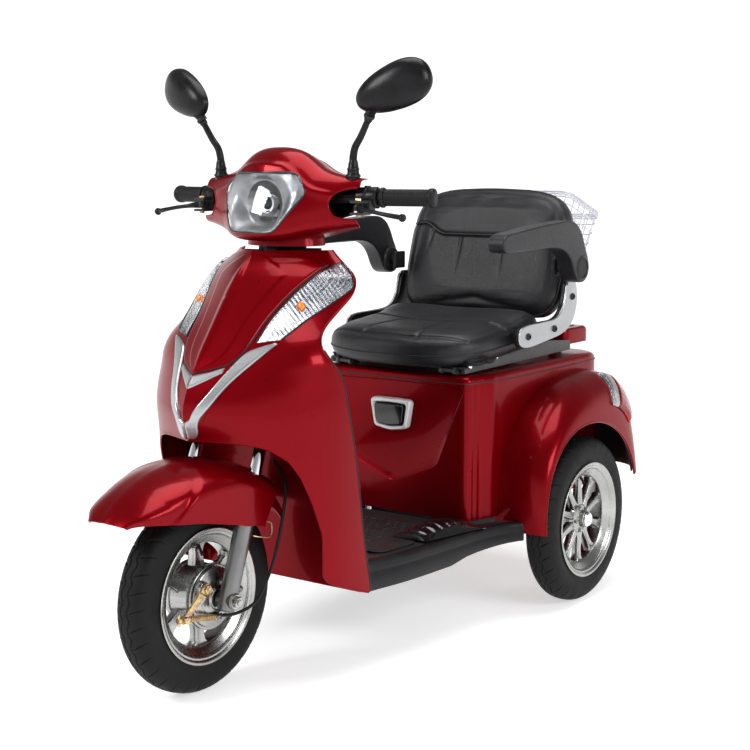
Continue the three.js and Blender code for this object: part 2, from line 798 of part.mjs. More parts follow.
// ---------------------------------------------------------------- frame
const RAIL_X = 120;
const RAIL_Z = [180, 206];
const AXLE_TUBE_R = 26;
const headTube = rod(onSteering(CROWN_S + 30), onSteering(600), 25, 12);
const bore = rod(onSteering(CROWN_S + 20), onSteering(620), 16, 12);
const downTube = tube(
  [
    onSteering(470, 0, 20),
    V(0, -372, 560),
    V(0, -318, 440),
    V(0, -286, 320),
    V(0, -268, 240),
    V(0, -262, 196),
  ],
  15,
  8,
  8,
);
const rails = [RAIL_X, -RAIL_X].flatMap((x) => [
  box(x - 13, x + 13, -275, 360, ...RAIL_Z),
  box(x - 13, x + 13, 334, 360, 200, 330),
  box(x - 13, x + 13, 334, 690, 304, 330),
  box(x - 13, x + 13, 110, 136, 200, 330),
  box(x - 13, x + 13, 110, 360, 304, 330),
  box(x - 11, x + 11, 160, 182, 320, BODY_TOP_Z - 5),
  box(x - 11, x + 11, 520, 542, 320, BODY_TOP_Z - 5),
  box(x - 30, x + 30, 150, 192, BODY_TOP_Z - 10, BODY_TOP_Z - 5),
  box(x - 30, x + 30, 510, 552, BODY_TOP_Z - 10, BODY_TOP_Z - 5),
]);
const crossMembers = [
  box(-RAIL_X, RAIL_X, -275, -249, ...RAIL_Z),
  box(-RAIL_X, RAIL_X, -90, -66, ...RAIL_Z),
  box(-RAIL_X, RAIL_X, 110, 136, ...RAIL_Z),
  box(-RAIL_X, RAIL_X, 334, 360, 304, 330),
  box(-RAIL_X, RAIL_X, 664, 690, 304, 330),
  box(-200, 200, -268, -256, 186, 200),
];
add("chassis_frame", cut(join(headTube, downTube, ...rails, ...crossMembers), bore), STEEL);

const axleUnit = join(
  rod(V(-274, REAR_AXLE_Y, TYRE_R), V(274, REAR_AXLE_Y, TYRE_R), AXLE_TUBE_R, 14),
  rod(V(-70, REAR_AXLE_Y, TYRE_R), V(40, REAR_AXLE_Y, TYRE_R), 78, 18),
  rod(V(-160, REAR_AXLE_Y, TYRE_R), V(-70, REAR_AXLE_Y, TYRE_R), 66, 18),
  box(RAIL_X - 16, RAIL_X + 16, REAR_AXLE_Y - 24, REAR_AXLE_Y + 24, 210, 303),
  box(-RAIL_X - 16, -RAIL_X + 16, REAR_AXLE_Y - 24, REAR_AXLE_Y + 24, 250, 303),
);
add("rear_axle_unit", axleUnit, STEEL);
add("battery_pack", box(-100, 100, 150, 330, 208, 300), BLACK);

// ---------------------------------------------------------------- floor
const FLOOR_OUTLINE = [
  [0, -262],
  [205, -276],
  [222, -276],
  [240, -180],
  [252, -40],
  [262, 90],
  [280, 192],
  [242, 192],
  [232, 150],
  [214, 92],
  [0, 92],
];
const SILL_OUTLINE = [
  [222, -276],
  [240, -180],
  [252, -40],
  [262, 90],
  [280, 192],
  [274, 192],
  [256, 91],
  [246, -39],
  [234, -180],
  [216, -276],
];
const flip = (outline) => outline.map(([x, y]) => [-x, y]).reverse();
const mirroredPlan = (outline) => [...outline, ...flip(outline.slice(1, -1))];
const floorTop = FLOOR_Z - 4;
const sillBottom = plateX(
  [
    [-320, 100],
    [260, 100],
    [260, 190],
    [30, 190],
    [-230, 173],
    [-320, 171],
  ],
  -300,
  300,
);
const floorSolid = cut(
  join(
    plateZ(mirroredPlan(FLOOR_OUTLINE), floorTop - 6, floorTop),
    plateZ(SILL_OUTLINE, 160, floorTop - 1),
    plateZ(flip(SILL_OUTLINE), 160, floorTop - 1),
  ),
  sillBottom,
  box(-20, 20, -300, -236, 200, 260),
);
add("floorboard", floorSolid, BLACK);
const MAT_OUTLINE = [
  [0, -200],
  [180, -226],
  [196, -206],
  [206, -102],
  [132, -96],
  [126, 60],
  [130, 86],
  [0, 86],
];
add("floor_mat", plateZ(mirroredPlan(MAT_OUTLINE), floorTop + GAP, FLOOR_Z), RUBBER);
for (const [side, sign] of SIDES) {
  const bump = (u, v) => {
    const along = lerp(-84, 84, v);
    const across = (2 * u - 1) * 44;
    const rise = 24 * Math.sin(Math.PI * u) ** 0.7 * Math.sin(Math.PI * v) ** 0.6;
    return V(196 + 0.2 * along + across, along, floorTop + 4 + rise);
  };
  const made = sheet(bump, 4, 6, 3);
  add(`foot_step_${side}`, sign > 0 ? made : made.mirror([1, 0, 0]), BLACK);
}

// ---------------------------------------------------------------- rear body
const BODY_OUTLINE = [
  [0, BODY_FRONT_Y],
  [188, BODY_FRONT_Y],
  [207, BODY_FRONT_Y + 6],
  [216, BODY_FRONT_Y + 36],
  [226, BODY_FRONT_Y + 66],
  [232, BODY_FRONT_Y + 100],
  [BODY_HALF_W, BODY_FRONT_Y + 170],
  [BODY_HALF_W, BODY_REAR_Y - 80],
  [226, BODY_REAR_Y - 32],
  [196, BODY_REAR_Y - 8],
  [150, BODY_REAR_Y],
  [0, BODY_REAR_Y + 2],
];
const BODY_BOTTOM_Z = 240;
function bodySolid(inset, top) {
  const middle = (BODY_FRONT_Y + BODY_REAR_Y) / 2;
  const half = (BODY_REAR_Y - BODY_FRONT_Y) / 2;
  const bevel = 14;
  const points = mirroredPlan(BODY_OUTLINE).map(([x, y]) => {
    const kx = (BODY_HALF_W - inset - bevel) / BODY_HALF_W;
    const ky = (half - inset - bevel) / half;
    return new THREE.Vector2(x * kx, middle + (y - middle) * ky);
  });
  const g = new THREE.ExtrudeGeometry(new THREE.Shape(points), {
    depth: top - 100 - 2 * bevel,
    bevelEnabled: true,
    bevelSize: bevel,
    bevelThickness: bevel,
    bevelSegments: 1,
  });
  return solid(g.translate(0, 0, 100 + bevel));
}
const bodyShell = cut(
  bodySolid(0, BODY_TOP_Z),
  bodySolid(SHELL_T, BODY_TOP_Z - SHELL_T),
  box(-300, 300, 0, 900, 0, BODY_BOTTOM_Z),
);
const V_RECESS = [
  [0, 318],
  [120, 368],
  [200, 552],
  [0, 556],
];
const recess = plateY(mirrored(V_RECESS), BODY_FRONT_Y - 10, BODY_FRONT_Y + 5);
const recessBack = plateY(
  mirrored([
    [0, 312],
    [124, 363],
    [206, 556],
    [0, 560],
  ]),
  BODY_FRONT_Y + 2,
  BODY_FRONT_Y + 8.5,
);

// The rear fenders: the arc is measured above the forward horizontal, seen from the rear axle.
const ARC_BODY = [
  [1, 226],
  [14, 238],
  [27, 260],
  [37, 274],
  [54, 293],
  [71, 314],
  [84, 324],
  [104, 350],
  [118, 392],
  [132, 395],
  [145, 343],
  [163, 298],
];
const ARC_LIP = [
  [1, 217],
  [15, 225],
  [34, 240],
  [50, 248],
  [66, 248],
  [86, 241],
  [107, 240],
  [128, 245],
  [147, 250],
  [163, 250],
];
const FENDER_X = [BODY_HALF_W - 2, 360];
function rearFenderAt(u, v) {
  const phi = lerp(1, 163, v);
  const rBody = table(ARC_BODY, phi);
  const rLip = table(ARC_LIP, phi);
  const [x, r] = bezier(
    [
      [FENDER_X[0], rBody],
      [FENDER_X[0] + 76, rBody + 4],
      [FENDER_X[1] - 2, lerp(rLip, rBody, 0.72)],
      [FENDER_X[1], rLip],
    ],
    u,
  );
  const a = THREE.MathUtils.degToRad(phi);
  return V(x, REAR_AXLE_Y - r * Math.cos(a), TYRE_R + r * Math.sin(a));
}
const fender = sheet(rearFenderAt, 5, 12, 3);
const rearBody = cut(
  join(bodyShell, recessBack, fender, fender.mirror([1, 0, 0])),
  recess,
  rod(V(0, 60, 475), V(0, 140, 475), 22, 16),
);
add("rear_body", rearBody, RED);

// The tail light lies on the fender between two arc angles.
const tailRay = (phi, r) => {
  const a = THREE.MathUtils.degToRad(phi);
  return [REAR_AXLE_Y - r * Math.cos(a), TYRE_R + r * Math.sin(a)];
};
const TAIL_PHI = [112, 135];
const tailWedge = plateX(
  [
    tailRay(TAIL_PHI[0], 470),
    tailRay(TAIL_PHI[1], 470),
    tailRay(TAIL_PHI[1], 300),
    tailRay(TAIL_PHI[0], 300),
  ],
  264,
  338,
);
for (const [side, sign] of SIDES) {
  const lens = sheet(rearFenderAt, 5, 12, 9, 9.6).intersect(tailWedge);
  add(`tail_light_${side}`, sign > 0 ? lens : lens.mirror([1, 0, 0]), CLEAR);
}

// The latch: a frame on the front face with a paddle that turns about its upper edge.
const LATCH_Z = [442, 508];
const latchFrame = plateY(
  mirrored([
    [0, LATCH_Z[0]],
    [44, LATCH_Z[0] + 6],
    [55, LATCH_Z[1] - 6],
    [49, LATCH_Z[1]],
    [0, LATCH_Z[1]],
  ]),
  BODY_FRONT_Y - 13,
  BODY_FRONT_Y + 4.4,
);
const latchHollow = plateY(
  mirrored([
    [0, LATCH_Z[0] + 5],
    [38, LATCH_Z[0] + 10],
    [45, LATCH_Z[1] - 6],
    [0, LATCH_Z[1] - 6],
  ]),
  BODY_FRONT_Y - 30,
  BODY_FRONT_Y + 1,
);
add("latch_frame", cut(latchFrame, latchHollow), CHROME);
const paddle = plateY(
  mirrored([
    [0, LATCH_Z[0] + 7],
    [35, LATCH_Z[0] + 12],
    [41, LATCH_Z[1] - 8],
    [0, LATCH_Z[1] - 8],
  ]),
  BODY_FRONT_Y - 17,
  BODY_FRONT_Y - 3,
);
add("latch_paddle", paddle, BLACK);

// A downturned tray on two stays behind the seat.
const carrierTray = cut(
  box(-178, 178, 624, 745, 600, 640),
  box(-174, 174, 600, 741, 590, 636),
);
const stays = [-130, 130].map((x) => box(x - 12, x + 12, 634, 664, BODY_TOP_Z + GAP, 637));
add("rear_carrier", join(carrierTray, ...stays), RED);

// ---------------------------------------------------------------- seat
const SEAT_HINGE = V(0, 110, 590);
const SEAT_SLOPE = 4.6;
const HINGE_X = 150; // middle of each seat hinge
const CUSHION_Z = 590;
const seatRail = (sign) =>
  plateX(
    [
      [112, 584],
      [614, 590],
      [614, 614],
      [480, 625],
      [112, 596],
    ],
    sign * 188 - 6,
    sign * 188 + 6,
  );
const seatPan = cut(
  box(-190, 190, 112, 470, 0, 6).rotate([SEAT_SLOPE, 0, 0]).translate([0, 0, CUSHION_Z - 6.5]),
  ...[-168, -132, 132, 168].map((x) => box(x - 6, x + 6, 100, 138, 580, 620)),
);
const hingePins = SIDES.flatMap(([, s]) => {
  const x = s * HINGE_X;
  return [
    rod(V(x - 25, SEAT_HINGE.y, SEAT_HINGE.z), V(x + 25, SEAT_HINGE.y, SEAT_HINGE.z), 5, 8),
    box(x - 12, x + 12, 104, 130, 587, 594),
  ];
});
const rearBar = box(-188, 188, 590, 614, 592, 612);
const middleBar = box(-188, 188, 440, 464, 606, 622);
add(
  "seat_base",
  join(seatRail(1), seatRail(-1), rearBar, middleBar, seatPan, ...hingePins),
  STEEL,
);
const EAR_R = 8.3;
for (const [side, sign] of SIDES) {
  const x = sign * HINGE_X;
  const { y, z } = SEAT_HINGE;
  // Each ear is round about the pin, so the cushion clears it as the seat tips forwards.
  const ears = [-18, 18].flatMap((dx) => [
    rod(V(x + dx - 4, y, z), V(x + dx + 4, y, z), EAR_R, 16),
    box(x + dx - 4, x + dx + 4, y, 134, BODY_TOP_Z + GAP + 1, 596),
  ]);
  const foot = box(x - 22, x + 22, 116, 142, BODY_TOP_Z + GAP, 586);
  const pinBore = rod(V(x - 40, y, z), V(x + 40, y, z), 6, 8);
  const knuckleRoom = rod(V(x - 13, y, z), V(x + 13, y, z), 13, 8);
  add(`seat_hinge_${side}`, cut(join(foot, ...ears), pinBore, knuckleRoom), STEEL);
}

// A padded solid: an outline extruded with rounded edges inside the two levels.
function padded(outline, low, high, round) {
  const inset = outline.map(([a, b]) => new THREE.Vector2(a, b));
  const g = new THREE.ExtrudeGeometry(new THREE.Shape(inset), {
    depth: high - low - 2 * round,
    bevelEnabled: true,
    bevelSize: round,
    bevelThickness: round,
    bevelSegments: 3,
  });
  return solid(g.translate(0, 0, low + round));
}
const CUSHION_OUTLINE = [
  [0, 84],
  [90, 92],
  [160, 116],
  [192, 160],
  [197, 300],
  [197, 390],
  [186, 402],
  [0, 406],
];
const cushion = padded(mirroredPlan(CUSHION_OUTLINE), 0, 76, 30);
add("seat_cushion", cushion.rotate([SEAT_SLOPE, 0, 0]).translate([0, 0, CUSHION_Z + GAP]), LEATHER);

const BACK_OUTLINE = [
  [0, 38],
  [195, 38],
  [206, 70],
  [206, 200],
  [196, 250],
  [165, 275],
  [90, 288],
  [0, 291],
];
const backPad = padded(mirroredPlan(BACK_OUTLINE), -44, 44, 30).rotate([90, 0, 0]);
const reclined = backPad.rotate([-THREE.MathUtils.radToDeg(SEAT_RECLINE), 0, 0]);
add("seat_back", reclined.translate([0, 486, 690]), LEATHER);

const PLATE_OUTLINE = [
  [252, 650],
  [266, 634],
  [300, 630],
  [455, 648],
  [503, 668],
  [530, 705],
  [532, 748],
  [516, 778],
  [484, 778],
  [470, 742],
  [456, 708],
  [430, 690],
  [290, 684],
  [258, 674],
];
for (const [side, sign] of SIDES) {
  const plate = plateX(PLATE_OUTLINE, sign * 250 - 4, sign * 250 + 4);
  const bolts = [
    [293, 657],
    [419, 665],
    [507, 737],
  ].map(([y, z]) => rod(V(sign * 244, y, z), V(sign * 259, y, z), 8, 6));
  add(`side_plate_${side}`, join(plate, ...bolts), SILVER);
}

// Armrests: the arm turns about a pin in the side of the seat back.
const ARM_PIVOT = V(0, 462, 812);
for (const [side, sign] of SIDES) {
  const x = sign * 284;
  const outline = [
    [92, 872],
    [100, 864],
    [330, 868],
    [385, 858],
    [415, 830],
    [432, 800],
    [455, 780],
    [485, 790],
    [496, 815],
    [482, 850],
    [455, 900],
    [420, 924],
    [375, 926],
    [110, 906],
    [94, 896],
  ];
  const arm = plateX(outline, x - 24, x + 24);
  const pivotAt = (px) => V(px, ARM_PIVOT.y, ARM_PIVOT.z);
  add(`armrest_${side}`, join(arm, rod(pivotAt(sign * 241), pivotAt(x), 12, 14)), BLACK);
}

// ---------------------------------------------------------------- basket
// The basket's own frame: x across, y along the rim to the rear, z up its side.
const BASKET_H = 145;
function basketSolid(grow, z0, z1) {
  const half = (z) => [158 + 12 * (z / BASKET_H) + grow, 84 + 14 * (z / BASKET_H) + grow];
  const [x0, y0] = half(z0);
  const [x1, y1] = half(z1);
  const p = [
    [-x0, -y0, z0],
    [x0, -y0, z0],
    [x0, y0, z0],
    [-x0, y0, z0],
    [-x1, -y1, z1],
    [x1, -y1, z1],
    [x1, y1, z1],
    [-x1, y1, z1],
  ];
  const sides = [0, 1, 2, 3].flatMap((i) => {
    const next = (i + 1) % 4;
    return [i, next, next + 4, i, next + 4, i + 4];
  });
  const index = [0, 2, 1, 0, 3, 2, 4, 5, 6, 4, 6, 7, ...sides];
  const g = new THREE.BufferGeometry();
  g.setAttribute("position", new THREE.BufferAttribute(new Float32Array(p.flat()), 3));
  g.setIndex(index);
  return solid(g);
}
const hook = (x) => box(x - 8, x + 8, -112, -82, 96, 104);
const basketWalls = cut(basketSolid(0, 0, BASKET_H), basketSolid(-4, 4, BASKET_H + 15));
const basketBox = join(basketWalls, hook(-90), hook(90));
const tilted = basketBox.rotate([-THREE.MathUtils.radToDeg(BASKET_TILT), 0, 0]);
const basket = tilted.translate([0, 684, 825]);
add("basket", basket, WHITE);

export default scooter;
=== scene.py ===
"""Looks of the three-wheel mobility scooter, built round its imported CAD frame.

Lengths are in millimetres and turn into metres where a mesh is made. +Z is up, the scooter
faces -Y and the rider's left is +X.
"""

import math

import bmesh
import bpy
import numpy as np
from mathutils import Matrix, Vector
from mathutils.bvhtree import BVHTree

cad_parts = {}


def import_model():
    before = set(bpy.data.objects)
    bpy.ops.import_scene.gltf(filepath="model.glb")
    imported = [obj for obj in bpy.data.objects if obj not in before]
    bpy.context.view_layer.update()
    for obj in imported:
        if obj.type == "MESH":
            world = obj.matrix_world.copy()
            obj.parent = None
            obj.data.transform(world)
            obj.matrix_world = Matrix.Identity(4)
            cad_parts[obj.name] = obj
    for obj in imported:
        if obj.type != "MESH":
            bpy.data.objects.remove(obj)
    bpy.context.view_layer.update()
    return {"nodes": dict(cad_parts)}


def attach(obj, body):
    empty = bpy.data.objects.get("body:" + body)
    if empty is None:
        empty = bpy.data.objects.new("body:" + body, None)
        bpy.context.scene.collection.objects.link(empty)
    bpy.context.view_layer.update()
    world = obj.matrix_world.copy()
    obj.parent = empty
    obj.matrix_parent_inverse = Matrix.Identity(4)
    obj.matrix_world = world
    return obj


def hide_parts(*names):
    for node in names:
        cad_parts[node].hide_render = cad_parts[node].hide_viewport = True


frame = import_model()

FLOOR_GLOW = 0.45
MM = 0.001
NODES = frame["nodes"]
scene = bpy.context.scene

# --- driving dimensions
TYRE_R = 202
TYRE_HALF_W = 38
RIM_R = 141
TYRE_BEAD_R = 126
FRONT_AXLE_Y = -590
REAR_AXLE_Y = 431
REAR_TRACK_HALF = 317
RAKE = math.radians(20)
FORK_X = 85
BODY_HALF_W = 235
BODY_TOP_Z = 580
BODY_BOTTOM_Z = 240
SEAT_SLOPE = math.radians(4.6)
SEAT_RECLINE = math.radians(16)
BASKET_TILT = math.radians(19.7)
SIDES = (("left", 1), ("right", -1))

# --- camera
CAMERA_AT = (1.987, -2.719, 1.064)
CAMERA_YAW = math.radians(35.88)
CAMERA_PITCH = math.radians(8.2)
camera_data = bpy.data.cameras.new("camera")
camera_data.lens = 70.7
camera_data.sensor_width = 36
camera_data.clip_end = 60
camera = bpy.data.objects.new("camera", camera_data)
camera.location = CAMERA_AT
camera.rotation_euler = (math.pi / 2 - CAMERA_PITCH, 0, CAMERA_YAW)
scene.collection.objects.link(camera)
scene.camera = camera


# --- materials
class Graph:
    """A material's node tree, with short ways to add and link nodes."""

    def __init__(self, name):
        self.material = bpy.data.materials.new(name)
        self.material.use_nodes = True
        self.tree = self.material.node_tree
        self.shader = self.tree.nodes["Principled BSDF"]
        self.coords = self.tree.nodes.new("ShaderNodeTexCoord").outputs["Object"]
        self.normal = None

    def node(self, kind, **values):
        made = self.tree.nodes.new("ShaderNode" + kind)
        for key, value in values.items():
            if key in made.inputs:
                made.inputs[key].default_value = value
            else:
                setattr(made, key, value)
        return made

    def link(self, a, b):
        self.tree.links.new(a, b)

    def stretched(self, scale):
        mapping = self.node("Mapping")
        mapping.inputs["Scale"].default_value = scale
        self.link(self.coords, mapping.inputs["Vector"])
        return mapping.outputs["Vector"]

    def noise(self, scale, detail=4.0, rough=0.55, stretch=None):
        made = self.node("TexNoise", Scale=scale, Detail=detail, Roughness=rough)
        self.link(self.stretched(stretch) if stretch else self.coords, made.inputs["Vector"])
        return made.outputs["Fac"]

    def cells(self, scale, stretch=None):
        made = self.node("TexVoronoi", Scale=scale)
        self.link(self.stretched(stretch) if stretch else self.coords, made.inputs["Vector"])
        return made.outputs["Distance"]

    def wave(self, scale, axis):
        made = self.node("TexWave", Scale=scale, Distortion=0.0, bands_direction=axis)
        self.link(self.coords, made.inputs["Vector"])
        return made.outputs["Fac"]

    def ramp(self, fac, stops):
        made = self.node("ValToRGB")
        items = made.color_ramp.elements
        items[0].position, items[0].color = stops[0][0], (*stops[0][1], 1)
        items[1].position, items[1].color = stops[-1][0], (*stops[-1][1], 1)
        for place, colour in stops[1:-1]:
            items.new(place).color = (*colour, 1)
        self.link(fac, made.inputs["Fac"])
        return made.outputs["Color"]

    def spread(self, fac, low, high, start=0.3, end=0.7):
        made = self.node("MapRange")
        for key, value in (("From Min", start), ("From Max", end), ("To Min", low), ("To Max", high)):
            made.inputs[key].default_value = value
        self.link(fac, made.inputs["Value"])
        return made.outputs["Result"]

    def mix(self, fac, a, b):
        made = self.node("Mix", data_type="RGBA")
        self.link(fac, made.inputs["Factor"])
        for key, value in (("A", a), ("B", b)):
            socket = [s for s in made.inputs if s.name == key and s.type == "RGBA"][0]
            if isinstance(value, tuple):
                socket.default_value = (*value, 1)
            else:
                self.link(value, socket)
        return [s for s in made.outputs if s.type == "RGBA"][0]

    def bump(self, height, depth, strength=1.0):
        """Raises the surface by `depth` metres where height is 1."""
        made = self.node("Bump", Strength=strength, Distance=depth)
        self.link(height, made.inputs["Height"])
        if self.normal is not None:
            self.link(self.normal, made.inputs["Normal"])
        self.normal = made.outputs["Normal"]

    def edges(self, low=0.515, high=0.57):
        """1 along the sharp edges that stand out, 0 on flat faces."""
        made = self.node("NewGeometry")
        return self.spread(made.outputs["Pointiness"], 0.0, 1.0, low, high)

    def done(self, colour, roughness, **sockets):
        self.link(colour, self.shader.inputs["Base Color"])
        self.link(roughness, self.shader.inputs["Roughness"])
        if self.normal is not None:
            self.link(self.normal, self.shader.inputs["Normal"])
        for key, value in sockets.items():
            self.shader.inputs[key.replace("_", " ")].default_value = value
        return self.material


def red_paint():
    g = Graph("red_paint")
    flakes = g.cells(2200)
    depth = g.noise(2.2, 2)
    deep = g.ramp(depth, [(0.3, (0.165, 0.0003, 0.004)), (0.7, (0.19, 0.0004, 0.005))])
    bright = g.ramp(depth, [(0.3, (0.26, 0.0006, 0.007)), (0.7, (0.29, 0.0008, 0.009))])
    colour = g.mix(g.spread(flakes, 0.75, 0.25, 0.1, 0.5), deep, bright)
    dust = g.spread(g.noise(26, 6, 0.7), 0.27, 0.31)
    g.bump(g.noise(700, 2), 0.00001, 0.3)
    return g.done(
        colour, dust, Metallic=0.5, Specular_IOR_Level=0.08, Coat_Weight=0.32, Coat_Roughness=0.07,
        Coat_IOR=1.4,
    )


def tyre_rubber():
    g = Graph("tyre_rubber")
    dust = g.noise(38, 6, 0.65)
    colour = g.ramp(dust, [(0.35, (0.005, 0.005, 0.005)), (0.72, (0.011, 0.011, 0.011))])
    colour = g.mix(g.edges(), colour, (0.028, 0.027, 0.027))
    g.bump(g.noise(700, 5), 0.00025, 0.6)
    g.bump(g.cells(1500), 0.00008, 0.5)
    return g.done(colour, g.spread(dust, 0.5, 0.7), Specular_IOR_Level=0.3)


def black_rubber():
    g = Graph("black_rubber")
    soft = g.noise(60, 5)
    colour = g.ramp(soft, [(0.3, (0.008, 0.008, 0.009)), (0.75, (0.017, 0.017, 0.018))])
    g.bump(g.cells(900), 0.0001, 0.5)
    return g.done(colour, g.spread(soft, 0.42, 0.6), Specular_IOR_Level=0.3)


def black_plastic(name="black_plastic", grain=1100, low=0.36, high=0.5, depth=0.00012):
    g = Graph(name)
    soft = g.noise(30, 5)
    colour = g.ramp(soft, [(0.3, (0.009, 0.009, 0.010)), (0.75, (0.016, 0.016, 0.018))])
    colour = g.mix(g.edges(0.53, 0.6), colour, (0.05, 0.05, 0.053))
    g.bump(g.cells(grain), depth, 0.5)
    return g.done(colour, g.spread(soft, low, high), Specular_IOR_Level=0.25)


def black_gloss():
    g = Graph("black_gloss")
    soft = g.noise(18, 4)
    colour = g.ramp(soft, [(0.3, (0.006, 0.006, 0.007)), (0.75, (0.014, 0.014, 0.016))])
    g.bump(g.noise(500, 2), 0.00004, 0.3)
    return g.done(colour, g.spread(g.noise(60, 6, 0.7), 0.10, 0.2), Coat_Weight=0.6, Coat_Roughness=0.06)


def leather():
    g = Graph("black_leather")
    pores = g.cells(620)
    folds = g.noise(95, 6, 0.62)
    shade = g.noise(9, 3)
    colour = g.ramp(shade, [(0.3, (0.009, 0.009, 0.011)), (0.7, (0.018, 0.018, 0.021))])
    colour = g.mix(g.spread(pores, 0.55, 0.0, 0.0, 0.35), colour, (0.004, 0.004, 0.005))
    g.bump(g.noise(22, 4), 0.0012, 0.45)
    g.bump(folds, 0.0005, 0.6)
    g.bump(pores, 0.0004, 0.75)
    return g.done(
        colour, g.spread(folds, 0.3, 0.44), Specular_IOR_Level=0.5, Sheen_Weight=0.04, Sheen_Roughness=0.5
    )


def metal(name, dark, light, low, high, brushed=(60, 60, 60), depth=0.00003, **sockets):
    g = Graph(name)
    lines = g.noise(9, 6, 0.6, stretch=brushed)
    spots = g.noise(14, 5)
    colour = g.ramp(spots, [(0.3, dark), (0.7, light)])
    g.bump(lines, depth, 0.5)
    return g.done(colour, g.spread(lines, low, high), **{"Metallic": 1.0, **sockets})


def zinc_plate():
    g = Graph("zinc_plate")
    stain = g.noise(85, 4)
    colour = g.ramp(
        stain,
        [
            (0.3, (0.55, 0.42, 0.12)), (0.48, (0.62, 0.52, 0.26)), (0.58, (0.50, 0.26, 0.22)),
            (0.7, (0.30, 0.42, 0.30))
        ],
    )
    g.bump(g.noise(600, 4), 0.00006, 0.5)
    return g.done(colour, g.spread(g.noise(200, 5), 0.24, 0.42), Metallic=0.9)


def clear_plastic(name="clear_lens", tint=(0.97, 0.98, 1.0), low=0.01, high=0.03):
    g = Graph(name)
    soft = g.noise(40, 4)
    colour = g.ramp(soft, [(0.3, tuple(0.97 * t for t in tint)), (0.7, tint)])
    return g.done(colour, g.spread(soft, low, high), Transmission_Weight=1.0, IOR=1.12, Coat_Weight=1.0)


def chrome_facets(name, low, high, rough):
    """A bright reflector broken into small facets."""
    g = Graph(name)
    cells = g.cells(60, stretch=(1.0, 0.3, 0.5))
    colour = g.ramp(g.noise(30, 3), [(0.3, (low, low, low * 1.02)), (0.7, (high, high, high * 1.02))])
    g.bump(cells, 0.0016, 0.5)
    return g.done(colour, g.spread(g.noise(80, 4), *rough), Metallic=1.0)


def lamp_ribs():
    """A bright reflector with fine parallel flutes."""
    g = Graph("lamp_ribs")
    colour = g.ramp(g.noise(40, 3), [(0.3, (0.42, 0.43, 0.45)), (0.7, (0.66, 0.67, 0.69))])
    g.bump(g.wave(42.0, "DIAGONAL"), 0.0012, 0.8)
    g.bump(g.noise(60, 3), 0.0004, 0.3)
    return g.done(colour, g.spread(g.noise(80, 4), 0.16, 0.26), Metallic=1.0)


def amber():
    g = Graph("amber_bulb")
    soft = g.noise(120, 3)
    colour = g.ramp(soft, [(0.3, (0.75, 0.16, 0.02)), (0.7, (0.9, 0.28, 0.04))])
    g.bump(g.noise(300, 3), 0.0001, 0.4)
    return g.done(colour, g.spread(soft, 0.15, 0.3), Coat_Weight=0.5)


def white_wire():
    g = Graph("white_wire")
    soft = g.noise(60, 4)
    colour = g.ramp(soft, [(0.3, (0.56, 0.56, 0.62)), (0.7, (0.64, 0.64, 0.70))])
    g.bump(g.noise(500, 3), 0.00008, 0.4)
    return g.done(colour, g.spread(soft, 0.26, 0.38), Coat_Weight=0.4, Coat_Roughness=0.2)


def powder_coat():
    g = Graph("powder_coat")
    soft = g.noise(50, 5)
    colour = g.ramp(soft, [(0.3, (0.010, 0.010, 0.011)), (0.75, (0.021, 0.021, 0.023))])
    colour = g.mix(g.edges(0.54, 0.62), colour, (0.09, 0.09, 0.092))
    g.bump(g.noise(1300, 3), 0.0002, 0.5)
    return g.done(colour, g.spread(soft, 0.38, 0.55), Metallic=0.25)


def mirror_glass():
    g = Graph("mirror_glass")
    soft = g.noise(20, 3)
    colour = g.ramp(soft, [(0.3, (0.80, 0.83, 0.86)), (0.7, (0.86, 0.88, 0.9))])
    return g.done(colour, g.spread(soft, 0.015, 0.04), Metallic=1.0)


def floor_rubber():
    g = Graph("floor_mat_rubber")
    soft = g.noise(40, 5)
    colour = g.ramp(soft, [(0.3, (0.012, 0.012, 0.013)), (0.75, (0.024, 0.024, 0.025))])
    g.bump(g.cells(70, stretch=(1.0, 1.0, 0.0)), 0.0018, 0.7)
    g.bump(g.noise(700, 4), 0.0001, 0.5)
    return g.done(colour, g.spread(soft, 0.5, 0.66))


def stage_floor():
    g = Graph("stage_floor")
    reach = g.node("VectorMath", operation="LENGTH")
    g.link(g.coords, reach.inputs[0])
    far = reach.outputs["Value"]
    grain = g.ramp(g.noise(0.8, 2), [(0.3, (0.80, 0.80, 0.81)), (0.7, (0.82, 0.82, 0.83))])
    colour = g.mix(g.spread(far, 0.0, 1.0, 2.0, 9.0), grain, (0.0, 0.0, 0.0))
    g.shader.inputs["Emission Color"].default_value = (1, 1, 1, 1)
    g.link(g.spread(far, FLOOR_GLOW, 1.0, 2.0, 9.0), g.shader.inputs["Emission Strength"])
    return g.done(colour, g.spread(g.noise(3, 3), 0.6, 0.7), Specular_IOR_Level=0.1)


RED = red_paint()
TYRE = tyre_rubber()
RUBBER = black_rubber()
PLASTIC = black_plastic()
GLOSS = black_gloss()
SATIN = black_plastic("black_satin", 1500, 0.24, 0.34, 0.00006)
LEATHER = leather()
ALLOY = metal("cast_alloy", (0.36, 0.36, 0.35), (0.48, 0.48, 0.47), 0.22, 0.3, (1, 14, 14), 0.000004)
FORK = metal("fork_grey", (0.20, 0.20, 0.20), (0.24, 0.24, 0.24), 0.3, 0.38, (30, 30, 3), 0.00001)
CHROME = metal("chrome", (0.76, 0.77, 0.79), (0.86, 0.87, 0.89), 0.05, 0.12)
SILVER = metal(
    "silver_trim", (0.40, 0.41, 0.42), (0.46, 0.47, 0.48), 0.26, 0.34, depth=0.00001, Metallic=0.8,
    Coat_Weight=0.3
)
BEZEL = metal(
    "latch_bezel", (0.62, 0.62, 0.63), (0.70, 0.70, 0.71), 0.3, 0.4, depth=0.00001, Metallic=0.2,
    Coat_Weight=0.4
)
ZINC = zinc_plate()
STEEL = powder_coat()
CLEAR = clear_plastic()
